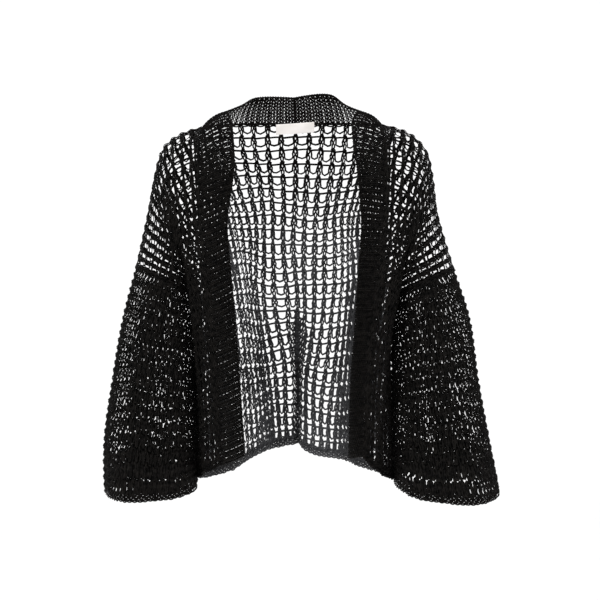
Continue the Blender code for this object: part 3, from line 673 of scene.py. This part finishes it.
def strands(c, columns, top, bottom, ways=BOTH_WAYS, knob=0.0):
    """The strands of each column: where it has two, they wind round each other once a course."""
    b = np.linspace(top, bottom, int(round((bottom - top) * STRAND_STEPS)) + 1)
    column, b = np.meshgrid(np.asarray(columns, dtype=float), b, indexing="ij")
    yarns = []
    for way in ways:
        turn = TURN * (b - WINDING_AHEAD) + WINDING_UNEVEN * ripple(5, column * 3.1, b)
        w = column_at(c, column, b) + way * reach(c, column, b, COLUMN_SPREAD) * np.cos(turn)
        up = way * COLUMN_DEPTH * np.sin(turn) + knob * np.cos(2.0 * turn)
        points, normals = on_cloth(c, w, b, up)
        uneven = 1.0 + STRAND_UNEVEN * ripple(7, column * 5.0, b * 2.0)
        yarns.append(tube(points, normals, yarn_radius(c, column, b) * uneven, 3))
    return yarns


def gaps_and_courses(gaps, courses):
    gap, course = np.meshgrid(
        np.asarray(gaps, dtype=float), np.arange(0, courses, dtype=float), indexing="ij"
    )
    return gap.ravel()[:, None], course.ravel()[:, None]


def leg_path(c, gap, course, leg, way, size):
    """One leg of each loop, from the knot down, left (+1) or right (-1) of the gap."""
    out, down, up = np.array(leg).T
    b = np.clip(course + down, CLEAR, c.courses - CLEAR)
    up = np.broadcast_to(up, b.shape)
    column = np.broadcast_to(gap if way > 0 else gap + 1.0, b.shape)
    w = column_at(c, column, b) + way * np.minimum(reach(c, column, b, out * size), WIDEST_LEG)
    return w, b, up


def loops(c, gaps, leg, foot, seed, stray=STRAY, unruly=None):
    """The U-shaped loops that close the tall holes."""
    gap, course = gaps_and_courses(gaps, c.courses)
    rng = np.random.default_rng(seed)
    size = rng.uniform(*LOOP_SIZE, gap.shape)
    left = leg_path(c, gap, course, leg, 1.0, size)
    right = leg_path(c, gap, course, leg, -1.0, size)
    share, low, lifted = np.array(foot).T
    low = low + rng.uniform(-FOOT_SHIFT, FOOT_SHIFT, gap.shape)
    lean = rng.uniform(*FOOT_LEAN, gap.shape)
    foot_w = left[0][:, -1:] * (1 - share) + right[0][:, -1:] * share
    foot_b = course + low + lean * (share - 0.5)
    foot_up = lifted + rng.uniform(-FOOT_LIFT, FOOT_LIFT, gap.shape)
    w, b, up = (
        np.concatenate([down, across, back[:, ::-1]], axis=1)
        for down, across, back in zip(left, (foot_w, foot_b, foot_up), right)
    )
    stray = stray + (STRAY_MORE * unruly(w, b) if unruly else 0.0)
    w = w + stray * rng.uniform(-1.0, 1.0, w.shape) / read(c, c.pitch, w, b)
    b = b + stray * rng.uniform(-1.0, 1.0, w.shape) / read(c, c.rise, w, b)
    points, normals = on_cloth(c, w, np.minimum(b, c.courses - CLEAR), up)
    radius = yarn_radius(c, gap, course) * rng.uniform(*LOOP_THICKNESS, gap.shape)
    return tube(points, normals, radius, 4)


def bars(c, gaps, steps, slant, seed):
    """The nearly straight bars between the short holes and the tall ones below."""
    gap, course = gaps_and_courses(gaps, c.courses - 1)
    rng = np.random.default_rng(seed)
    share = np.linspace(0.0, 1.0, steps + 1)
    left = column_at(c, gap, course + BAR_DOWN)
    right = column_at(c, gap + 1.0, course + BAR_DOWN)
    w = left * (1 - share) + right * share
    tilt = slant * rng.uniform(*BAR_TILT, gap.shape)
    sag = rng.uniform(*BAR_SAG, gap.shape) * 4.0 * share * (1.0 - share)
    b = course + BAR_DOWN - tilt * (share - 0.5) + sag
    b = b + rng.uniform(-BAR_SHIFT, BAR_SHIFT, gap.shape)
    up = np.broadcast_to(-BAR_LIFT * np.cos(TURN * share), w.shape)
    points, normals = on_cloth(c, w, np.clip(b, CLEAR, c.courses - CLEAR), up)
    thick = 1.0 if c.ring else 1.0 + BAR_THICKER * (1.0 - c.spread(gap, course))
    radius = yarn_radius(c, gap, course) * thick * rng.uniform(*BAR_THICKNESS, gap.shape)
    return tube(points, normals, radius, 4)


# How wide a rope winds, the length of one turn, and its strands' radius
Rope = namedtuple("Rope", "width turn radius")
SEAM = Rope(0.0017, 0.0300, 0.00135)
HEM = Rope(0.0014, 0.0160, 0.00135)
STRIP_EDGE = Rope(0.0011, 0.0085, 0.00105)
ROPE_DEPTH = 0.7
ROPE_PHASE = 1.6
# How far in from a panel's edge its ropes run
HEM_ROPES = (0.0014, 0.0040, 0.0066, 0.0094, 0.0124)
HEM_WAVER = 0.0007
SEAM_ROPE = (0.0013,)
SEAM_BUMP = 0.0014


def rope(points, normals, kind, phase=0.0):
    """Two strands wound round one path, given as closely spaced points."""
    length = np.concatenate([[0.0], np.cumsum(np.linalg.norm(np.diff(points, axis=0), axis=1))])
    turns = max(1.0, round(2.0 * length[-1] / kind.turn) / 2.0)
    at = np.linspace(0.0, length[-1], int(turns * STRAND_STEPS) + 1)
    path = np.stack([np.interp(at, length, points[:, i]) for i in range(3)], axis=-1)
    normal = unit(np.stack([np.interp(at, length, normals[:, i]) for i in range(3)], axis=-1))
    across = unit(np.cross(np.gradient(path, axis=0), normal))
    turn = TURN * turns * at / length[-1] + phase
    yarns = []
    for way in BOTH_WAYS:
        aside = across * (way * kind.width * np.cos(turn))[:, None]
        up = normal * (way * kind.width * ROPE_DEPTH * np.sin(turn))[:, None]
        yarns.append(tube((path + aside + up)[None], normal[None], kind.radius, 3))
    return yarns


def edge_ropes(c, first, last):
    """Ropes that run along a panel's hem, and one along its top."""
    yarns = []
    w = np.linspace(first, last, int((last - first) * HEM_SAMPLES_PER_WALE) + 1)
    for k, distance in enumerate(HEM_ROPES):
        hem = np.full_like(w, c.courses)
        b = hem - (distance + HEM_WAVER * ripple(13 + k, w * 3.0)) / read(c, c.rise, w, hem)
        points, normals = on_cloth(c, w, b, np.zeros_like(w))
        yarns += rope(points, normals, HEM, phase=k * ROPE_PHASE)
    for distance in SEAM_ROPE:
        b = distance / read(c, c.rise, w, np.zeros_like(w))
        points, normals = on_cloth(c, w, b, SEAM_BUMP * np.cos(TURN * w))
        yarns += rope(points, normals, SEAM)
    return yarns


# Extra columns of stitches beside each front band, and beside each side seam
SEAM_COLUMNS = (0.25, 0.50)
SIDE_COLUMNS = (15.33, 15.66)
SIDE_TOP = 9.0
HEM_KNIT_ENDS = 0.40
KNIT_ENDS = PANEL_COURSES - HEM_KNIT_ENDS
# Stitches bunched into the fold low in the middle of the back
Bunch = namedtuple("Bunch", "columns top bottom")
FOLD = {
    "right": (Bunch((-0.30,), 14.0, KNIT_ENDS), Bunch((-0.60,), 15.0, KNIT_ENDS)),
    "left": (Bunch((0.34, 0.66), 14.4, KNIT_ENDS), Bunch((1.30,), 15.2, 17.6)),
}
# Low down, the back's stitches spread beside the fold and crowd behind the fronts:
# the wale that moves furthest, and by how many wales
SPREAD_RIGHT = (3.4, 1.2)
SPREAD_LEFT = (6.5, 2.2)
SPREAD_COURSES = (7.0, 12.0)
# How full the back's yarns are, how much thinner over the shoulders, high up and where they crowd,
# and how much fuller low down
BACK_FULLNESS = 1.10
SHOULDER_THINNER = 0.06
HIGH_THINNER = 0.10
CROWD_THINNER = 0.20
LOW_FULLER = 0.08
HIGH_COURSES = (6.0, 9.0)
LOW_COURSES = (7.0, 13.0)
SHOULDER_GATHER = 0.36
GATHER_COURSES = (7.0, 11.0)
# Where the stitches crowd: the wales and courses over which it starts, and the wales where it ends
CROWD_FROM = (3.0, 5.0)
CROWD_COURSES = (8.0, 13.0)
CROWD_TO = (13.0, 15.0)
# The fronts' yarns are thinner and gather high up: at the top, how much more below, and where
FRONT_FULLNESS = (0.90, 0.11, 7.0, 12.0)
FRONT_SPREAD = (0.64, 0.36, 7.0, 11.0)


def back_share(w, b):
    """Share of the half back's width at a wale."""
    at = np.where(w < 0, SPREAD_RIGHT[0], SPREAD_LEFT[0])
    far = np.where(w < 0, SPREAD_RIGHT[1], SPREAD_LEFT[1])
    w = np.abs(w)
    x = (w / at) ** 2
    w = w + far * ramp_up(b, *SPREAD_COURSES) * x * np.exp(1.0 - x)
    neck = NECK_SHARE * w / NECK_WALES
    shoulder = NECK_SHARE + (1.0 - NECK_SHARE) * (w - NECK_WALES) / SHOULDER_WALES
    return np.where(w <= NECK_WALES, neck, shoulder)


def ramp_up(x, low, high):
    return np.clip((x - low) / (high - low), 0.0, 1.0)


def ramp_down(x, low, high):
    return np.clip((high - x) / (high - low), 0.0, 1.0)


def crowded(w, b):
    """0 to 1: low on the wearer's right of the back, where the stitches crowd together."""
    return ramp_up(-w, *CROWD_FROM) * ramp_down(-w, *CROWD_TO) * ramp_up(b, *CROWD_COURSES)


def over_shoulder(w):
    return ramp_up(np.abs(w), NECK_WALES - 1.0, NECK_WALES + 1.0)


def back_fullness(w, b):
    """The yarns are fullest across the middle of the back, and thinnest over the shoulders."""
    shoulder = over_shoulder(w)
    thinner = HIGH_THINNER * shoulder * ramp_down(b, *HIGH_COURSES) + CROWD_THINNER * crowded(w, b)
    fuller = LOW_FULLER * ramp_up(b, *LOW_COURSES)
    return BACK_FULLNESS - thinner - SHOULDER_THINNER * shoulder + fuller


def back_spread(w, b):
    """Over the shoulders the yarns gather into narrow columns, with wide holes between."""
    return 1.0 - SHOULDER_GATHER * over_shoulder(w) * ramp_down(b, *GATHER_COURSES)


def by_course(table, w, b):
    at_top, more, start, full = table
    return at_top + more * ramp_up(b, start, full) + 0.0 * w


def sleeve_fullness(side, w, b):
    """The sleeve's yarns spread as it widens to the cuff, lie closest on its inner side and stay
    thinner along its streaks."""
    courses, fullness = zip(*SLEEVE_FULLNESS)
    outwards = np.cos(TURN * w / SLEEVE_WALES)
    inner = ((1.0 - outwards) / 2.0) ** 3 * ramp_down(b, *INNER_COURSES)
    thinner = sum(k.thinner * bump((outwards - k.middle) / k.half) for k in STREAKS[side.name])
    thinner = thinner * ramp_down(b, *STREAK_COURSES)
    return np.interp(b, courses, fullness) * (1.0 + INNER_FULLER * inner - thinner)


def back_at(w, b):
    u, v = back_share(w, b), b / PANEL_COURSES
    return np.where((w < 0)[..., None], back_point(RIGHT, u, v), back_point(LEFT, u, v))


def panel_yarns(c, first, last, seed, slant, columns, unruly=None):
    gaps = range(first, last)
    yarns = strands(c, columns, 0.0, c.courses - HEM_KNIT_ENDS)
    yarns.append(loops(c, gaps, LOOP_LEG, LOOP_FOOT, seed, unruly=unruly))
    yarns.append(bars(c, gaps, 4, slant, seed + 1))
    return yarns + edge_ropes(c, first, last)


def make_back(finish):
    c = cloth(back_at, -HALF_WALES, HALF_WALES, PANEL_COURSES, 1.0, back_fullness, back_spread)
    pieces = []
    for side, first in ((RIGHT, -HALF_WALES), (LEFT, 0)):
        last = first + HALF_WALES
        columns = range(first, last if side is RIGHT else last + 1)
        seed = BACK_SEED + int(side.sign)
        yarns = panel_yarns(c, first, last, seed, BAR_SLANT, columns, crowded)
        for bunch in FOLD[side.name]:
            yarns += strands(c, bunch.columns, bunch.top, bunch.bottom)
        pieces.append(knitted("back_knit_" + side.name, yarns, finish, "back"))
    return c, pieces


def make_front(side, finish):
    def at(w, b):
        return front_point(side, w / SHOULDER_WALES, b / PANEL_COURSES)

    fullness, spread = partial(by_course, FRONT_FULLNESS), partial(by_course, FRONT_SPREAD)
    c = cloth(at, 0, SHOULDER_WALES, PANEL_COURSES, -side.sign, fullness, spread)
    slant = BAR_SLANT * side.sign
    columns = range(0, SHOULDER_WALES + 1)
    yarns = panel_yarns(c, 0, SHOULDER_WALES, FRONT_SEED + int(side.sign), slant, columns)
    yarns += strands(c, SEAM_COLUMNS, 0.0, c.courses - HEM_KNIT_ENDS)
    yarns += strands(c, SIDE_COLUMNS, SIDE_TOP, c.courses - HEM_KNIT_ENDS)
    name = "front_knit_" + side.name
    return c, knitted(name, yarns, finish, "front_" + side.name)


def make_sleeve(side, finish):
    def at(w, b):
        points = sleeve_point(side, TURN * w / SLEEVE_WALES, b / SLEEVE_COURSES)
        inner = (1.0 - np.cos(TURN * w / SLEEVE_WALES)) / 2.0
        points[..., 0] -= side.sign * SLEEVE_PRESS * inner * ramp_up(b, *PRESS_COURSES)
        return points

    fullness = partial(sleeve_fullness, side)
    c = cloth(at, 0, SLEEVE_WALES, SLEEVE_COURSES, side.sign, fullness, ring=True)
    gaps = range(SLEEVE_WALES)
    seed = SLEEVE_SEED + int(side.sign)
    yarns = strands(c, gaps, 0.0, c.courses - HEM_KNIT_ENDS, ONE_STRAND, SLEEVE_KNOB)
    yarns.append(loops(c, gaps, SLEEVE_LEG, SLEEVE_FOOT, seed, SLEEVE_STRAY))
    yarns.append(bars(c, gaps, 2, BAR_SLANT * side.sign, seed + 1))
    yarns += edge_ropes(c, 0, SLEEVE_WALES)
    name = "sleeve_knit_" + side.name
    return c, knitted(name, yarns, finish, "sleeve_" + side.name)


# ---------------------------------------------------------------- rib knit
BAND_CORDS = 2 * sum(RIBS_PER_FRONT_STATION)
COLLAR_CORDS = 2 * sum(RIBS_PER_NECK_STATION)
CORD_STEPS = 38
BAND_EYELETS = 9.5
COLLAR_EYELETS = 8.5
CORD_DEPTH = 0.0004
# Share of the way along by which the eyelets begin to close, and where they are closed
BAND_FADE = (0.30, 0.62)
COLLAR_FADE = {"right": (0.35, 0.70), "left": (0.60, 0.95)}
# Two strands side by side in each cord: each one's distance from the cord's middle, how far it
# draws in to leave the eyelets, and its radius
Cord = namedtuple("Cord", "half swing radius")
RAISED_CORD = Cord(0.00130, 0.0, 0.00156)
RECESSED_CORD = Cord(0.00130, 0.0021, 0.00150)
COLLAR_CORD = Cord(0.00132, 0.0019, 0.00146)
RIB_LIFT = 0.0010
COLLAR_LIFT = 0.0003
RIB_PAIR = 0.03
BAND_SKEW = {"right": -0.004, "left": 0.010}
CORD_INSET = 0.015
ROPE_INSET = 0.03
CORD_WAVER = 0.0012
# How much thinner and thicker the cords become where they close up and fan out
CORD_FAN = (0.92, 1.35)
BAND_SEED = 51
COLLAR_SEED = 61


def cords(rows, outward, count, first, skew, stagger, seed, fade):
    """Cords of stitches across a band or collar, every other one raised."""
    k = np.arange(count)
    pair = RIB_PAIR * np.where(k % 2 == 0, 1.0, -1.0) * (0.0 if stagger else 1.0)
    s0 = first + (1.0 - first) * (k + 0.5 + pair) / count
    t = np.linspace(CORD_INSET, 1.0 - CORD_INSET, CORD_STEPS + 1)
    s, t = np.meshgrid(s0, t, indexing="ij")
    s = s + skew * (t - 0.5) + CORD_WAVER * ripple(seed, s * 60.0, t * 4.0)
    s = np.clip(s, 0.0, 1.0)
    length = row_length(rows)
    eyelets = COLLAR_EYELETS if stagger else BAND_EYELETS
    phase = TURN * eyelets * t + (k[:, None] % 2) * (math.pi / 2.0 if stagger else 0.0)
    fade = 1.0 - ramp_up(s, *fade)
    raised = (k % 2 == 0)[:, None]
    lift = (COLLAR_LIFT if stagger else RIB_LIFT) * np.where(raised, 1.0, -1.0)
    kinds = (COLLAR_CORD, COLLAR_CORD) if stagger else (RECESSED_CORD, RAISED_CORD)
    half, swing, radius = (np.where(raised, kinds[1][i], kinds[0][i]) for i in range(3))
    yarns = []
    for way in BOTH_WAYS:
        drawn = fade * swing * np.maximum(np.cos(phase), 0.0) * (way > 0)
        along = np.clip(s + way * (half - drawn) / length, 0.0, 1.0)
        points = strip_point(rows, along, t, outward)
        normals = strip_normal(rows, along, outward)
        up = lift + way * CORD_DEPTH * np.sin(phase)
        apart = np.linalg.norm(np.gradient(points, axis=0), axis=-1)
        fan = np.clip(apart / np.abs(np.gradient(s, axis=0)) / length, *CORD_FAN)
        yarns.append(tube(points + normals * up[..., None], normals, radius * fan, 3))
    return yarns


def row_length(rows):
    seam = spline(seam_edge(rows), np.linspace(0.0, 1.0, 60))
    return float(np.linalg.norm(np.diff(seam, axis=0), axis=1).sum())


def strip_ropes(rows, outward):
    """Ropes along a strip's seam edge and its free edge."""
    yarns = []
    s = np.linspace(0.0, 1.0, STRIP_SAMPLES)
    for t in (ROPE_INSET, 1.0 - ROPE_INSET):
        points = strip_point(rows, s, np.full_like(s, t), outward)
        yarns += rope(points, strip_normal(rows, s, outward), STRIP_EDGE)
    return yarns


def make_band(side, finish):
    outward = -side.sign
    skew = BAND_SKEW[side.name]
    yarns = cords(side.band, outward, BAND_CORDS, 0.0, skew, False, BAND_SEED, BAND_FADE)
    yarns += strip_ropes(side.band, outward)
    name = "band_rib_" + side.name
    return knitted(name, yarns, finish, "front_band_" + side.name)


def make_collar(finish):
    """Both halves. The right one also has the cord that lies on the centre back."""
    yarns = []
    for side, extra in ((RIGHT, 1), (LEFT, 0)):
        outward = -side.sign
        first = -0.5 * extra / COLLAR_CORDS
        fade = COLLAR_FADE[side.name]
        count = COLLAR_CORDS + extra
        yarns += cords(side.collar, outward, count, first, 0.0, True, COLLAR_SEED, fade)
        yarns += strip_ropes(side.collar, outward)
    return knitted("collar_rib", yarns, finish, "collar")


# ---------------------------------------------------------------- label
LABEL_STEPS_ACROSS = 36
LABEL_STEPS_DOWN = 12
LABEL_CUP = 0.0012
LABEL_WAVER = 0.0004
LABEL_HANG = (0.0, -0.12, 1.0)
LABEL_BEVEL = 0.0002


def make_label(finish):
    """The bare tape, gently cupped between its stitched ends."""
    lift = CLOTH_WALL / 2.0 + SEAM_GAP * 2.0 + LABEL_WALL / 2.0
    n, m = LABEL_STEPS_ACROSS, LABEL_STEPS_DOWN
    grid = np.zeros((n + 1, m + 1, 3))
    for i in range(n + 1):
        s = i / n
        x = (s - 0.5) * LABEL_WIDTH
        side = RIGHT if x < 0 else LEFT
        share = np.array(seam_share(side, x))
        base = spline(seam_edge(side.collar), share)
        inward = -back_normal(side, share * NECK_SHARE, np.array(0.0))
        rise = LABEL_RISE_RIGHT + (LABEL_RISE_LEFT - LABEL_RISE_RIGHT) * s
        for j in range(m + 1):
            d = j / m
            cup = LABEL_CUP * math.sin(math.pi * s) * d
            cup += LABEL_WAVER * math.sin(9.0 * s + 4.0 * d)
            down = (rise - LABEL_DROP * d) * np.array(LABEL_HANG)
            grid[i, j] = base + inward * (lift + cup) + down
    normals = unit(np.cross(np.gradient(grid, axis=1), np.gradient(grid, axis=0)))
    faces = [(grid + way * normals * (LABEL_WALL / 2.0)).reshape(-1, 3) for way in BOTH_WAYS]
    mesh = bpy.data.meshes.new("neck_label_tape")
    mesh.from_pydata(np.concatenate(faces).tolist(), [], wall_faces(n + 1, m + 1))
    mesh.update()
    shape = bmesh.new()
    shape.from_mesh(mesh)
    bmesh.ops.recalc_face_normals(shape, faces=shape.faces)
    shape.to_mesh(mesh)
    shape.free()
    piece = placed("neck_label_tape", mesh)
    edge = piece.modifiers.new("soft edge", "BEVEL")
    edge.width = LABEL_BEVEL
    edge.segments = 2
    dress(piece, finish, "neck_label")
    return piece


def wall_faces(columns, rows):
    """Faces of a closed thin wall over a grid."""
    def corner(i, j, inner):
        return i * rows + j + inner * columns * rows

    faces = []
    for i in range(columns - 1):
        for j in range(rows - 1):
            around = ((i, j), (i + 1, j), (i + 1, j + 1), (i, j + 1))
            faces.append([corner(a, b, 0) for a, b in around])
            faces.append([corner(a, b, 1) for a, b in reversed(around)])
        for j in (0, rows - 1):
            edge = ((i, j, 0), (i, j, 1), (i + 1, j, 1), (i + 1, j, 0))
            faces.append([corner(*at) for at in edge])
    for i in (0, columns - 1):
        for j in range(rows - 1):
            edge = ((i, j, 0), (i, j + 1, 0), (i, j + 1, 1), (i, j, 1))
            faces.append([corner(*at) for at in edge])
    return faces


# ---------------------------------------------------------------- materials
# Where between 0 and 1 a grain's darker colour ends and its lighter colour starts
RAMP_ENDS = (0.35, 0.68)
# Each grain is its scale and its detail
DYE_GRAIN = (170.0, 3.0)
# Grain of the painted light on the back's inner side
PAINTED_LIGHT_GRAIN = (14.0, 2.0)
GLOSS_GRAIN = (420.0, 2.0)
FIBRE_GRAIN = (1500.0, 3.0, 0.6)
TAPE_GRAIN = (60.0, 2.0)
FLOOR_GRAIN = (1.5, 2.0)
WEAVE_SCALE = 620.0
# Each relief is its strength and its depth
FIBRE_RELIEF = (0.55, 0.0004)
WEAVE_RELIEF = (0.25, 0.0002)
# Each pair is a darker and a lighter colour
MESH_DARK = (0.0003, 0.00025, 0.0002)
RIB_DARK = (0.0004, 0.0003, 0.0003)
YARN_LIGHT = (0.0085, 0.0074, 0.0066)
# Painted light: pale greys that stand for the light falling on the back's inner side
PAINTED_LIGHT_GREYS = ((0.038, 0.038, 0.040), (0.082, 0.083, 0.088))
LABEL_CREAM = ((0.82, 0.78, 0.75), (0.86, 0.82, 0.80))
FLOOR_WHITE = ((0.93, 0.93, 0.93), (0.96, 0.96, 0.96))
# Where the painted light on the back's inner side starts and where it is full: height, facing and
# distance from the middle
PAINTED_LIGHT_DOWN = (-0.05, -0.20)
PAINTED_LIGHT_FACING = (0.90, -0.10)
PAINTED_LIGHT_ASIDE = (0.17, 0.11)
YARN_SHADER = {
    "Specular IOR Level": 0.055,
    "Sheen Weight": 0.004,
    "Sheen Roughness": 0.5,
    "Sheen Tint": (0.55, 0.52, 0.50, 1.0),
}
WHITE = (1.0, 1.0, 1.0, 1.0)


def node_material(name):
    made = bpy.data.materials.new(name)
    made.use_nodes = True
    return made, made.node_tree, made.node_tree.nodes["Principled BSDF"]


def settle(node, values):
    for name, value in values.items():
        node.inputs[name].default_value = value


def add_node(tree, kind, values, sources):
    """A new node, with values and links for its inputs."""
    made = tree.nodes.new("ShaderNode" + kind)
    settle(made, values)
    for name, source in sources.items():
        tree.links.new(source, made.inputs[name])
    return made


def place(tree, output="Object"):
    return add_node(tree, "TexCoord", {}, {}).outputs[output]


def noise(tree, scale, detail, roughness=0.5):
    values = {"Scale": scale, "Detail": detail, "Roughness": roughness}
    return add_node(tree, "TexNoise", values, {"Vector": place(tree)}).outputs["Fac"]


def ramp(tree, source, low, high):
    """A source of 0 to 1 as a colour between two, each without its alpha."""
    made = add_node(tree, "ValToRGB", {}, {"Fac": source})
    for element, position, colour in zip(made.color_ramp.elements, RAMP_ENDS, (low, high)):
        element.position = position
        element.color = (*colour, 1.0)
    return made.outputs["Color"]


def span(tree, source, start, end, low=0.0, high=1.0):
    values = {"From Min": start, "From Max": end, "To Min": low, "To Max": high}
    return add_node(tree, "MapRange", values, {"Value": source}).outputs["Result"]


def reckon(tree, operation, *sources):
    made = add_node(tree, "Math", {}, dict(enumerate(sources)))
    made.operation = operation
    return made.outputs["Value"]


def relief(tree, shader, height, strength, distance):
    values = {"Strength": strength, "Distance": distance}
    made = add_node(tree, "Bump", values, {"Height": height})
    tree.links.new(made.outputs["Normal"], shader.inputs["Normal"])


def painted_inner_light(tree):
    """0 to 1: how much painted light falls on the back's inner side: on sides that face forwards,
    growing from the shoulder blades down and fading towards the armholes."""
    where = add_node(tree, "SeparateXYZ", {}, {"Vector": place(tree)})
    facing = add_node(tree, "SeparateXYZ", {}, {"Vector": place(tree, "Normal")})
    down = span(tree, where.outputs["Z"], *PAINTED_LIGHT_DOWN)
    front = span(tree, facing.outputs["Y"], *PAINTED_LIGHT_FACING)
    aside = span(tree, reckon(tree, "ABSOLUTE", where.outputs["X"]), *PAINTED_LIGHT_ASIDE)
    return reckon(tree, "MULTIPLY", reckon(tree, "MULTIPLY", down, front), aside)


def yarn_finish(name, dark, roughness, painted_light=None):
    """Black cotton-blend yarn: fibre bump, uneven dye and, where asked for, a faint painted light.
    """
    made, tree, shader = node_material(name)
    colour = ramp(tree, noise(tree, *DYE_GRAIN), dark, YARN_LIGHT)
    # Painted light: the back's inner side is mixed towards pale greys where light falls on it
    if painted_light:
        mixed = add_node(tree, "Mix", {}, {})
        mixed.data_type = "RGBA"
        pale = ramp(tree, noise(tree, *PAINTED_LIGHT_GRAIN), *painted_light)
        for source, entry in ((painted_inner_light(tree), "Factor"), (colour, "A"), (pale, "B")):
            tree.links.new(source, mixed.inputs[entry])
        colour = mixed.outputs["Result"]
    tree.links.new(colour, shader.inputs["Base Color"])
    gloss = span(tree, noise(tree, *GLOSS_GRAIN), 0.0, 1.0, roughness - 0.10, roughness + 0.12)
    tree.links.new(gloss, shader.inputs["Roughness"])
    relief(tree, shader, noise(tree, *FIBRE_GRAIN), *FIBRE_RELIEF)
    settle(shader, YARN_SHADER)
    return made


def label_finish():
    """Cream satin tape with a fine weave."""
    made, tree, shader = node_material("label_satin_look")
    tree.links.new(ramp(tree, noise(tree, *TAPE_GRAIN), *LABEL_CREAM), shader.inputs["Base Color"])
    heights = []
    for direction in ("X", "Z"):
        wave = add_node(tree, "TexWave", {"Scale": WEAVE_SCALE}, {"Vector": place(tree)})
        wave.bands_direction = direction
        heights.append(wave.outputs["Fac"])
    relief(tree, shader, reckon(tree, "ADD", *heights), *WEAVE_RELIEF)
    settle(shader, {"Roughness": 0.42, "Sheen Weight": 0.2})
    return made


def dress(piece, finish, node):
    piece.data.materials.append(finish)
    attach(piece, "root")
    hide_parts(node)


def strip_area(rows, outward):
    s, t = np.meshgrid(*(np.linspace(0.0, 1.0, n) for n in AREA_SAMPLES), indexing="ij")
    points = strip_point(rows, s, t, outward)
    patches = np.cross(np.gradient(points, axis=0), np.gradient(points, axis=1))
    return float(np.linalg.norm(patches[:-1, :-1], axis=-1).sum())


def declare_strip(piece, strips, outwards):
    """Adds up the strips' seam lengths and their areas; neither is used further."""
    length = sum(row_length(rows) for rows in strips)
    area = sum(strip_area(rows, outward) for rows, outward in zip(strips, outwards))


# ---------------------------------------------------------------- stage, light and camera
CAMERA_PLACE = (0.00775, -2.8, -0.2666)
VIEW_WIDTH = 0.93
SENSOR = 36.0
FLOOR_Z = -1.05
FLOOR_FRONT = -5.0
BACKDROP_Y = 4.6
BACKDROP_TOP = 5.0
SWEEP = 1.0
SWEEP_STEPS = 24
STAGE_HALF_WIDTH = 7.0
# A little light of its own keeps the backdrop white
STAGE_GLOW = 0.085
WORLD_LIGHT = 0.86
CLIP_START = 0.05


def make_camera():
    data = bpy.data.cameras.new("camera")
    data.sensor_width = SENSOR
    data.lens = SENSOR * -CAMERA_PLACE[1] / VIEW_WIDTH
    data.clip_start = CLIP_START
    camera = linked("camera", data)
    camera.location = CAMERA_PLACE
    camera.rotation_euler = (math.pi / 2.0, 0.0, 0.0)
    bpy.context.scene.camera = camera


def make_stage():
    """A pale floor that sweeps up into a pale backdrop."""
    profile = [(FLOOR_FRONT, FLOOR_Z), (BACKDROP_Y - SWEEP, FLOOR_Z)]
    for i in range(1, SWEEP_STEPS + 1):
        turn = math.pi / 2.0 * i / SWEEP_STEPS
        y = BACKDROP_Y - SWEEP + SWEEP * math.sin(turn)
        profile.append((y, FLOOR_Z + SWEEP - SWEEP * math.cos(turn)))
    profile.append((BACKDROP_Y, BACKDROP_TOP))
    corners = [(x, y, z) for y, z in profile for x in (-STAGE_HALF_WIDTH, STAGE_HALF_WIDTH)]
    faces = [(2 * i, 2 * i + 1, 2 * i + 3, 2 * i + 2) for i in range(len(profile) - 1)]
    mesh = bpy.data.meshes.new("studio_sweep")
    mesh.from_pydata(corners, [], faces)
    mesh.update()
    floor = placed("studio_sweep", mesh)
    made, tree, shader = node_material("pale_floor")
    tree.links.new(ramp(tree, noise(tree, *FLOOR_GRAIN), *FLOOR_WHITE), shader.inputs["Base Color"])
    settle(shader, {"Roughness": 0.9, "Specular IOR Level": 0.1})
    settle(shader, {"Emission Color": WHITE, "Emission Strength": STAGE_GLOW})
    mesh.materials.append(made)


Lamp = namedtuple("Lamp", "name place aim size power")
LAMPS = (
    Lamp("key", (-1.6, -2.2, 1.5), (0.0, 0.0, -0.25), 1.6, 38.0),
    Lamp("fill", (1.9, -2.0, 0.6), (0.0, 0.0, -0.25), 1.8, 22.0),
    Lamp("top", (0.0, -0.4, 2.2), (0.0, 0.0, -0.2), 1.6, 8.0),
)


def make_lights():
    for lamp in LAMPS:
        data = bpy.data.lights.new(lamp.name, "AREA")
        data.shape = "SQUARE"
        data.size = lamp.size
        data.energy = lamp.power
        light = linked(lamp.name, data)
        light.location = lamp.place
        aim = Vector(lamp.aim) - Vector(lamp.place)
        light.rotation_euler = aim.to_track_quat("-Z", "Y").to_euler()
    world = bpy.data.worlds.new("studio")
    world.use_nodes = True
    settle(world.node_tree.nodes["Background"], {"Color": WHITE, "Strength": WORLD_LIGHT})
    bpy.context.scene.world = world
    bpy.context.scene.view_settings.view_transform = "Standard"


def main():
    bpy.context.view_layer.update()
    make_camera()
    make_stage()
    make_lights()
    knit = yarn_finish("mesh_yarn", MESH_DARK, 0.60)
    # The back's yarn carries painted light on its inner side
    inside = yarn_finish("back_yarn_painted_light", MESH_DARK, 0.60, PAINTED_LIGHT_GREYS)
    rib = yarn_finish("rib_yarn", RIB_DARK, 0.55)
    back, halves = make_back(inside)
    for side in (RIGHT, LEFT):
        c, piece = make_front(side, knit)
        c, piece = make_sleeve(side, knit)
        piece = make_band(side, rib)
        declare_strip(piece, [side.band], [-side.sign])
    collars, outwards = (RIGHT.collar, LEFT.collar), (-RIGHT.sign, -LEFT.sign)
    declare_strip(make_collar(rib), collars, outwards)
    label = make_label(label_finish())


main()
